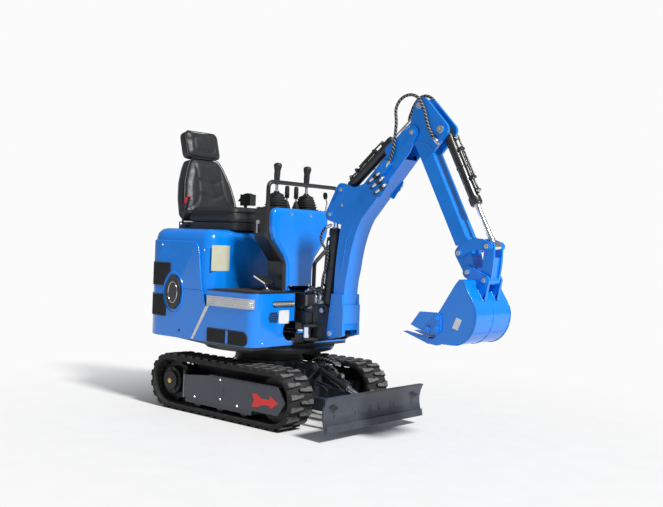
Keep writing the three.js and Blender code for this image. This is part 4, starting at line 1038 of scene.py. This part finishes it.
seat_plan = rounded(rect(-537.4, -118, -228, 228), [14, 70, 70, 14], 8)
z0 = PAN_TOP + 0.6
kit = loft(lambda z, p: (p[0], p[1], z), seat_plan,
           [(z0, 10), (z0 + 8, 3), (z0 + 22, 0.5), (z0 + 60, 2), (z0 + 78, 8), (z0 + 87, 18),
            (z0 + 91, 32), (z0 + 92, 50)])
up = Vector((0, 0, 1))
seams = [[(-530, s * 138, 1240), (-330, s * 132, 1244), (-205, s * 128, 1240),
          (-150, s * 150, 1230)] for s in (-1, 1)]
seams += [[(x, -130, 1243), (x, 0, 1244), (x, 130, 1243)] for x in (-250, -390)]
rim = [(x, y, z0 + 70) for x, y in shrunk(seat_plan, 2.5)]
low_rim = [(x, y, z0 + 8) for x, y in shrunk(seat_plan, 2.0)]
cushion("seat_bottom", kit, "seat_cushion", up, lambda co: co[2] < (z0 + 12) / 1000, seams,
        [rim, low_rim], 0.007)

back_shape = [(-198, 0), (198, 0), (228, 34), (222, 140), (200, 250), (158, 350), (128, 402),
              (96, 418), (-96, 418), (-128, 402), (-158, 350), (-200, 250), (-222, 140), (-228, 34)]
back_shape = rounded(back_shape, 22, 4)
kit = loft(lambda w, p: lean(w, p[0], p[1]), back_shape,
           [(-103, 30), (-100, 12), (-90, 3), (-70, 0.5), (-34, 0.5), (-18, 5), (-9, 14), (-4, 26),
            (-3, 44)])
foot = P(*lean(0, 0, 0))
out = (P(*lean(100, 0, 0)) - foot).normalized()
seams = [[lean(0, s * u, v) for u, v in ((200, 60), (128, 118), (104, 200), (100, 300), (104, 385))]
         for s in (-1, 1)]
seams += [[lean(0, -104, v), lean(0, 0, v - 34), lean(0, 104, v)] for v in (170, 268)]
rim = [lean(-22, u, v) for u, v in shrunk(back_shape, 3)]
rear_rim = [lean(-88, u, v) for u, v in shrunk(back_shape, 2.5)]
cushion("seat_back", kit, "seat_backrest", out,
        lambda co: (Vector(co) - foot).dot(out) < -0.08, seams, [rim, rear_rim], 0.007)

head = rounded(rect(-HEAD_HALF, HEAD_HALF, BACK_HIGH + 1, BACK_HIGH + HEAD_HIGH),
               [40, 40, 46, 46], 8)
kit = loft(lambda w, p: lean(w, p[0], p[1]), head,
           [(-89, 26), (-85, 10), (-76, 2), (-30, 1), (-17, 6), (-10, 15), (-7.5, 26), (-7, 36)])
panel = rounded(rect(-84, 84, 462, 562), 26, 6)
seams = [[lean(0, u, v) for u, v in [*panel, panel[0]]]]
rim = [lean(-24, u, v) for u, v in shrunk(head, 4)]
cushion("seat_head", kit, "headrest", out,
        lambda co: (Vector(co) - foot).dot(out) < -0.078, seams, [rim], 0.006)

extra = Kit()
for s in (-1, 1):
    extra.tube([lean(-60, s * 60, 390), lean(-60, s * 60, 450)], 6, 12, 0)
make("head_posts", extra, "house", STEEL)
extra = Kit()
extra.tube([(-300, 226, 1128), (-250, 250, 1132), (-190, 262, 1136)], 6, 12)
extra.lathe((-200, 260, 1135.5), (1, 0.15, 0.05), [(0, 8), (6, 11), (40, 12), (48, 8)], 16)
make("seat_lever", extra, "house", PLASTIC)
extra = Kit()
extra.lathe((-525, -246, 1311), (0.37, 0, 0.93), [(0, 13), (5, 12), (7, 8)], 20)
extra.prism(rounded([(-546, 1268), (-526, 1268), (-518, 1306), (-538, 1306)], 5), "y", -259.5, -263)
make("buckle_button", extra, "house", RED, bevel=0.6)
extra = Kit()
extra.bolt((-580, -251, 1136), (0, -1, 0), 7)
extra.bolt((-512, 246.5, 1136), (0, 1, 0), 7)
make("belt_bolts", extra, "house", STEEL)
extra = Kit()
strap = [(-470, 262, 1350), (-500, 262, 1364), (-545, 262, 1352), (-590, 262, 1310)]
extra.tube(strap, 22, 8, 6, flat=0.07)
make("belt_strap", extra, "house", THREAD)

# ---------------------------------------------------------------- blade
kit = Kit().prism([(866.5, 52.5), (869, 53), (862, 92), (859.5, 92)], "y", -428, 428)
make("blade_edge", kit, "blade", DARK, bevel=0.6)
kit = Kit().prism(rect(838, 866, 232, 238), "y", -429, 429)
make("blade_flange", kit, "blade", DARK, bevel=1.2)
for side in (-1, 1):
    ring, dark = Kit(), Kit()
    face = [(856.5, side * 357 + u, v) for u, v in oval(0, 180, 26, 11, 30)]
    ring.tube(face, 1.4, 8, 0, loop=True)
    # painted shade: a dark oval inside each rim stands for the shaded hollow of the hole
    dark.rings([[(x - 1, y, z) for x, y, z in face], [(x + 0.8, y, z) for x, y, z in face]])
    make(f"blade_hole_rim_{side + 2}", ring, "blade", DARK)
    make(f"blade_hole_{side + 2}", dark, "blade", IRON)
kit = Kit().pin("blade_eye", 52.8, 9).pin("blade_arm", 195.6, 11)
make("blade_pins", kit, "blade", STEEL)


# ---------------------------------------------------------------- cylinders
def between(a, b):
    """The place of the first pin and the direction to the second."""
    start, end = (Vector((PIN[pin][0], 0, PIN[pin][1])) for pin in (a, b))
    return start, (end - start).normalized()


def dress(name, a, b, radius, length, rod, out_side, pipe=BLACK):
    """Glands, port blocks and pipes along a barrel, and a wiper and collar on its rod."""
    start, way = between(a, b)
    out = Vector(out_side)
    out = (out - way * out.dot(way)).normalized()
    across = way.cross(out)
    bands, steel, pipes = Kit(), Kit(), Kit()
    bands.lathe(start + way * (length - 44), way,
                [(0, radius + 0.4), (3, radius + 5.5), (36, radius + 5.5), (40, radius + 3.5),
                 (44.4, radius + 3), (44.4, rod + 3.4)], 32)
    # the boom cylinder's foot turns down past the post, so it has no low band
    for s in (length * 0.5,) if name == "boom" else (40, length * 0.5):
        bands.lathe(start + way * s, way, [(0, radius + 0.2), (2, radius + 2.4), (7, radius + 2.4),
                                           (9, radius + 0.2)], 32)
    steel.lathe(start + way * (length + 0.4), way, [(0, rod + 6), (5, rod + 5), (7, rod + 2),
                                                   (7, rod + 1.2)], 28)
    ports = [start + way * s + out * (radius - 2) for s in (64, length - 64)]
    for port in ports:
        bands.lathe(port, out, [(0, 15), (10, 15), (12, 12)], 20)
        steel.lathe(port + out * 11, out, [(0, 11), (9, 11), (10, 8), (16, 8)], 6)
    reach = radius + 17
    for port, shift, near, far in ((ports[0], -9, 90, length - 150),
                                   (ports[1], 9, length - 90, 150)):
        p = start + out * reach + across * shift
        pipes.tube([port + out * 22, p + way * near, p + way * (length * 0.5), p + way * far],
                   5.2, 10, 5)
    for s in (0.3, 0.68):
        c = start + way * length * s + out * (reach - 2)
        bands.rings([[c + across * u + out * v + way * w for u, v in
                      rect(-18, 18, -14, 8)] for w in (-7, 7)])
    make(f"{name}_bands", bands, f"{name}_barrel", BLACK, bevel=0.8)
    make(f"{name}_unions", steel, f"{name}_barrel", STEEL)
    make(f"{name}_pipes", pipes, f"{name}_barrel", pipe)


dress("boom", "boom_low", "boom_high", 31, 480, 16, (-1, 0, 0.2))
dress("arm", "arm_base", "arm_ear", 29, 415, 15, (-0.5, 0, 1))
dress("bucket", "bucket_base", "link", 27, 440, 14, (0.7, 0, 0.7))
dress("blade", "blade_base", "blade_eye", 27, 250, 14, (0, 0, 1), STEEL)


def hose(name, points, radius, bent):
    """A braided hose with crimped fittings; bent is (body a, body b, start, end), and start and end
    are not used.
    """
    path = even(spline(points, 10), 3.4)
    sides = 12
    piece = make(name, Kit().tube(path, radius, sides, 0), None, BRAID_DARK,
                 sharp=60)
    piece.data.materials.append(BRAID_PALE)
    # the two caps come last and stay dark
    pale = [(r + i) % 6 == 0 for r in range(len(path) - 1) for i in range(sides)] + [False] * 2
    for p, m in zip(piece.data.polygons, pale):
        p.material_index = int(m)
    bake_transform(piece)
    for k, (at, nxt) in enumerate(((path[0], path[5]), (path[-1], path[-6]))):
        fit = Kit()
        way = (nxt - at).normalized()
        fit.lathe(at - way * 16, way, [(0, radius * 0.75), (6, radius * 0.75), (6, radius * 1.25),
                                       (16, radius * 1.25)], 6)
        fit.lathe(at, way, [(0, radius * 1.18), (3, radius * 1.3), (24, radius * 1.3),
                            (27, radius * 1.1)], 16)
        make(f"{name}_fitting_{k}", fit, bent[k], STEEL)


hose("tip_hose_right", [(928, -78, 1482), (958, -76, 1560), (970, -70, 1700), (962, -66, 1785),
                        (990, -62, 1838), (1045, -60, 1858), (1102, -60, 1838), (1142, -60, 1776),
                        (1171, -60, 1690), (1204, -60, 1630), (1232, -58, 1598)],
     8.5, ("boom", "arm", (1000, 0, 1840), (1110, 0, 1830)))
hose("tip_hose_left", [(928, 78, 1482), (958, 76, 1570), (966, 70, 1710), (972, 66, 1790),
                       (1010, 62, 1848), (1060, 60, 1868), (1112, 60, 1848), (1152, 60, 1792),
                       (1182, 60, 1710), (1212, 60, 1640), (1240, 58, 1606)],
     8.5, ("boom", "arm", (1010, 0, 1850), (1120, 0, 1840)))
hose("tip_hose_inner", [(930, 76, 1530), (948, 82, 1600), (948, 80, 1700), (956, 74, 1770),
                        (1000, 70, 1826), (1054, 66, 1844), (1104, 64, 1824), (1144, 62, 1770),
                        (1172, 60, 1700)],
     8.5, ("boom", "arm", (1005, 0, 1840), (1105, 0, 1830)))

couplers, sleeves, plates = Kit(), Kit(), Kit()
slope = Vector((170, 0, 118)).normalized()
for s in (-1, 1):
    for dx, dz, reach in ((0, 0, 108), (22, -30, 96), (46, -62, 84)):
        base = Vector((806 + dx, s * 74, 1398 + dz))
        couplers.lathe(base, slope, [(0, 7), (10, 7), (10, 10.5), (32, 10.5), (34, 12), (52, 12),
                                     (54, 10), (reach - 12, 10), (reach - 10, 7), (reach, 7)], 6)
        sleeves.lathe(base + slope * 34, slope, [(0, 13.5), (22, 13.5), (24, 12)], 18)
        sleeves.tube([base - slope * 22, base], 6.5, 10, 0)
    low = [(786, 1356), (872, 1304), (940, 1400), (852, 1462)]
    high = [(856, 1456), (900, 1428), (946, 1488), (908, 1512)]
    plates.prism(rounded(low, 12), "y", s * 60.2, s * 64)
    plates.prism(rounded(high, 10), "y", s * 60.2, s * 86)
make("couplers", couplers, "boom", STEEL)
make("coupler_sleeves", sleeves, "boom", BLACK)
make("coupler_plates", plates, "boom", BLUE, bevel=1.2)

hose("boom_lift_hose", [(494, -38, 1150), (459, -42, 1132), (436, -44, 1096), (438, -44, 1056),
                        (470, -42, 1012), (490, -40, 975), (480, -40, 920), (458, -40, 850),
                        (450, -40, 780), (440, -34, 720)],
     7.5, ("boom_barrel", "swing_post", (470, 0, 920), (450, 0, 740)))
for k, y in enumerate((-36, -24, 24, 36)):
    hose(f"nose_hose_{k}", [(330, y, 760), (372, y, 782), (404, y * 1.1, 756), (412, y * 1.2, 712)],
         7, ("house", "swing_post", (345, 0, 770), (400, 0, 760)))
for k, y in enumerate((-9, 9)):
    hose(f"blade_hose_{k}", [(560, y, 352), (500, y * 2, 372), (430, y * 3.5, 378),
                             (372, y * 4, 340), (340, y * 4, 312)],
         6, ("blade_barrel", "undercarriage", (520, 0, 360), (400, 0, 360)))

# ---------------------------------------------------------------- pins and marks of the equipment
kit = Kit().pin("boom_high", 65, 12).pin("arm_base", 65, 12).pin("foot", 83, 15)
kit.pin("tip", 68.8, 13)
kit.lathe((600, -60.3, 1266), (0, -1, 0), [(0, 9), (1.5, 9), (1.5, 6)], 18)
make("boom_pins", kit, "boom", STEEL)
kit = Kit().pin("arm_ear", 56, 19).pin("bucket_base", 62, 21)
make("arm_pins", kit, "arm", STEEL)
make("idler_pins", Kit().pin("idler", 72.8, 13).pin("link", 78.8, 13), "idler_link", STEEL)
make("bucket_pins", Kit().pin("bucket", 74.8, 13).pin("tipping", 74.8, 12), "bucket", STEEL)
make("post_pins", Kit().pin("boom_low", 57, 14), "swing_post", STEEL)
kit = Kit()
kit.lathe((340, 0, 658.8), (0, 0, 1), [(0, 40), (5, 40), (8, 37), (8, 18), (14, 18), (16, 15)], 28)
for a in around(4, 0.5):
    kit.bolt((340 + 29 * math.cos(a), 29 * math.sin(a), 666), (0, 0, 1), 4, False)
make("swing_pin", kit, "swing_post", STEEL)

welds = Kit()
for s in (-1, 1):
    welds.tube([(612, s * 60.2, 880), (640, s * 60.2, 1060), (672, s * 60.2, 1132)], 2.6, 6)
    welds.tube([(976, s * 63.3, 1620), (1040, s * 63.3, 1690)], 2.2, 6, 0)
make("boom_welds", welds, "boom", BLUE)
welds = Kit()
for s in (-1, 1):
    welds.tube([(1112, s * 50.2, 1600), (1166, s * 50.2, 1590), (1206, s * 50.2, 1560)], 2.4, 6)
make("arm_welds", welds, "arm", BLUE)


def bucket_back(t):
    """The outside of the bucket's back, t from 0 at the lip to 1 at the hinge plate."""
    def bezier(p, u):
        a, b, c, d = (Vector(q) for q in p)
        v = 1 - u
        return a * v ** 3 + b * 3 * v * v * u + c * 3 * v * u * u + d * u ** 3
    flat_end, bend_end = 0.24, 0.68
    if t < flat_end:
        return Vector((1337 + (1453 - 1337) * t / flat_end, 562))
    if t < bend_end:
        return bezier([(1453, 562), (1520, 562), (1577, 628), (1579, 712)],
                      (t - flat_end) / (bend_end - flat_end))
    return bezier([(1579, 712), (1579, 780), (1528, 812), (1512, 862)],
                  (t - bend_end) / (1 - bend_end))


kit, ribs = Kit(), Kit()
samples = [bucket_back(0.02 + 0.9 * k / 40) for k in range(41)]
normals = [Vector(((b - a).y, -(b - a).x)).normalized()
           for a, b in zip([samples[0], *samples[:-1]], [*samples[1:], samples[-1]])]
normals[0], normals[-1] = normals[1], normals[-2]
section = ((-1, -3.5), (1.6, -2.5), (1.6, 2.5), (-1, 3.5))
ribs.rings([[(p.x + n.x * d, w, p.y + n.y * d) for d, w in section]
            for p, n in zip(samples[:34], normals)])
for k in (8, 22):
    p, n = samples[k], normals[k]
    ribs.tube([(p.x + n.x * 0.2, y, p.y + n.y * 0.2) for y in (-160, -60, 60, 160)], 1.6, 6, 0)
for s in (-1, 1):
    kit.tube([(p.x, s * 164.5, p.y) for p in samples[:36:3]], 2.6, 8, 3)
make("bucket_wear_strips", ribs, "bucket", BLUE, bevel=0.6)
make("bucket_seams", kit, "bucket", BLUE)
kit = Kit().prism([(1463, 701), (1495, 691), (1472, 637), (1440, 647)], "y", -165.1, -165.8)
make("bucket_label", kit, "bucket", LABEL)
kit = Kit()
for s in (-1, 1):
    for x, z in ((1352, 690), (1352, 636), (1300, 632)):
        kit.lathe((x, s * (BUCKET_HALF + 10.6), z), (0, s, 0), [(0, 17), (5, 17), (8, 14.5)], 24)
        kit.lathe((x, s * (BUCKET_HALF + 17.6), z), (0, s, 0), [(0, 11), (5, 11), (7, 9)], 6)
make("cutter_bolts", kit, "bucket", BLUE)
teeth = Kit()
spacing = (2 * BUCKET_HALF - 42) / 3
for k in range(4):
    y = -BUCKET_HALF + k * spacing
    teeth.prism([(1236, 584), (1290, 556), (1300, 553), (1300, 588), (1262, 592)], "y", y - 2.5,
                y + 44.5)
    teeth.lathe((1276, y - 2.4, 573), (0, -1, 0), [(0, 5), (2.4, 4.4)], 12)
    teeth.lathe((1276, y + 44.4, 573), (0, 1, 0), [(0, 5), (2.4, 4.4)], 12)
make("tooth_sockets", teeth, "bucket", BLUE, bevel=1.6)

# ---------------------------------------------------------------- camera, floor and light
RIGHT = Vector((0.7541243, 0.65566977, 0.03733224))
UPWARD = Vector((-0.03531123, -0.01628099, 0.99924374))
AHEAD = Vector((-0.65578172, 0.75487223, -0.01087461))
lens_data = bpy.data.cameras.new("camera")
lens_data.lens, lens_data.sensor_width = 48.98, 36
lens_data.clip_start, lens_data.clip_end = 0.05, 100
camera = placed("camera", lens_data)
turn = Matrix((RIGHT, UPWARD, -AHEAD)).transposed().to_4x4()
camera.matrix_world = Matrix.Translation((3.5233, -3.9664, 1.0456)) @ turn
scene.camera = camera

t = Tree("pale_floor")
grain = t.noise(6, 6)
pale = t.mix(t.ranged(grain, 0.3, 0.7), (0.80, 0.80, 0.80, 1), (0.83, 0.83, 0.83, 1))
t.feed(t.shader, {"Base Color": pale, "Roughness": 0.7, "Specular IOR Level": 0.1})
t.bump([(t.noise(300), 0.05, 0.0003)])
glow = t.add("ShaderNodeEmission", {"Color": (0.97, 0.97, 0.97, 1), "Strength": 1.0})
far = t.add("ShaderNodeVectorMath", {0: t.place}, operation="LENGTH").outputs["Value"]
GLOW_START, GLOW_FULL = 1.0, 3.2
blend = t.add("ShaderNodeMixShader", {0: t.ranged(far, GLOW_START, GLOW_FULL),
                                      1: t.shader.outputs[0], 2: glow.outputs[0]})
sink = t.tree.nodes["Material Output"]
t.tree.links.new(blend.outputs[0], sink.inputs["Surface"])
bpy.ops.mesh.primitive_plane_add(size=60, location=(0, 0, 0))
floor = bpy.context.object
floor.name = "floor"
floor.data.materials.append(t.mat)

world = scene.world or bpy.data.worlds.new("world")
scene.world = world
world.use_nodes = True
wt = world.node_tree
wt.nodes.clear()
ambient, backdrop = (wt.nodes.new("ShaderNodeBackground") for _ in range(2))
for node, colour, strength in ((ambient, (0.93, 0.96, 1.0, 1), 0.27),
                               (backdrop, (0.97, 0.97, 0.97, 1), 1.0)):
    node.inputs["Color"].default_value = colour
    node.inputs["Strength"].default_value = strength
rays = wt.nodes.new("ShaderNodeLightPath")
choose = wt.nodes.new("ShaderNodeMixShader")
sink = wt.nodes.new("ShaderNodeOutputWorld")
wt.links.new(rays.outputs["Is Camera Ray"], choose.inputs[0])
wt.links.new(ambient.outputs[0], choose.inputs[1])
wt.links.new(backdrop.outputs[0], choose.inputs[2])
wt.links.new(choose.outputs[0], sink.inputs[0])


def sun(name, toward, strength, angle, colour):
    data = bpy.data.lights.new(name, "SUN")
    data.energy, data.angle, data.color = strength, math.radians(angle), colour
    lamp = placed(name, data)
    lamp.rotation_mode = "QUATERNION"
    lamp.rotation_quaternion = (-Vector(toward)).to_track_quat("-Z", "Y")


sun("key", (1, -0.12, 0.98), 4.1, 9, (1, 0.99, 0.97))

scene.view_settings.view_transform = "Standard"
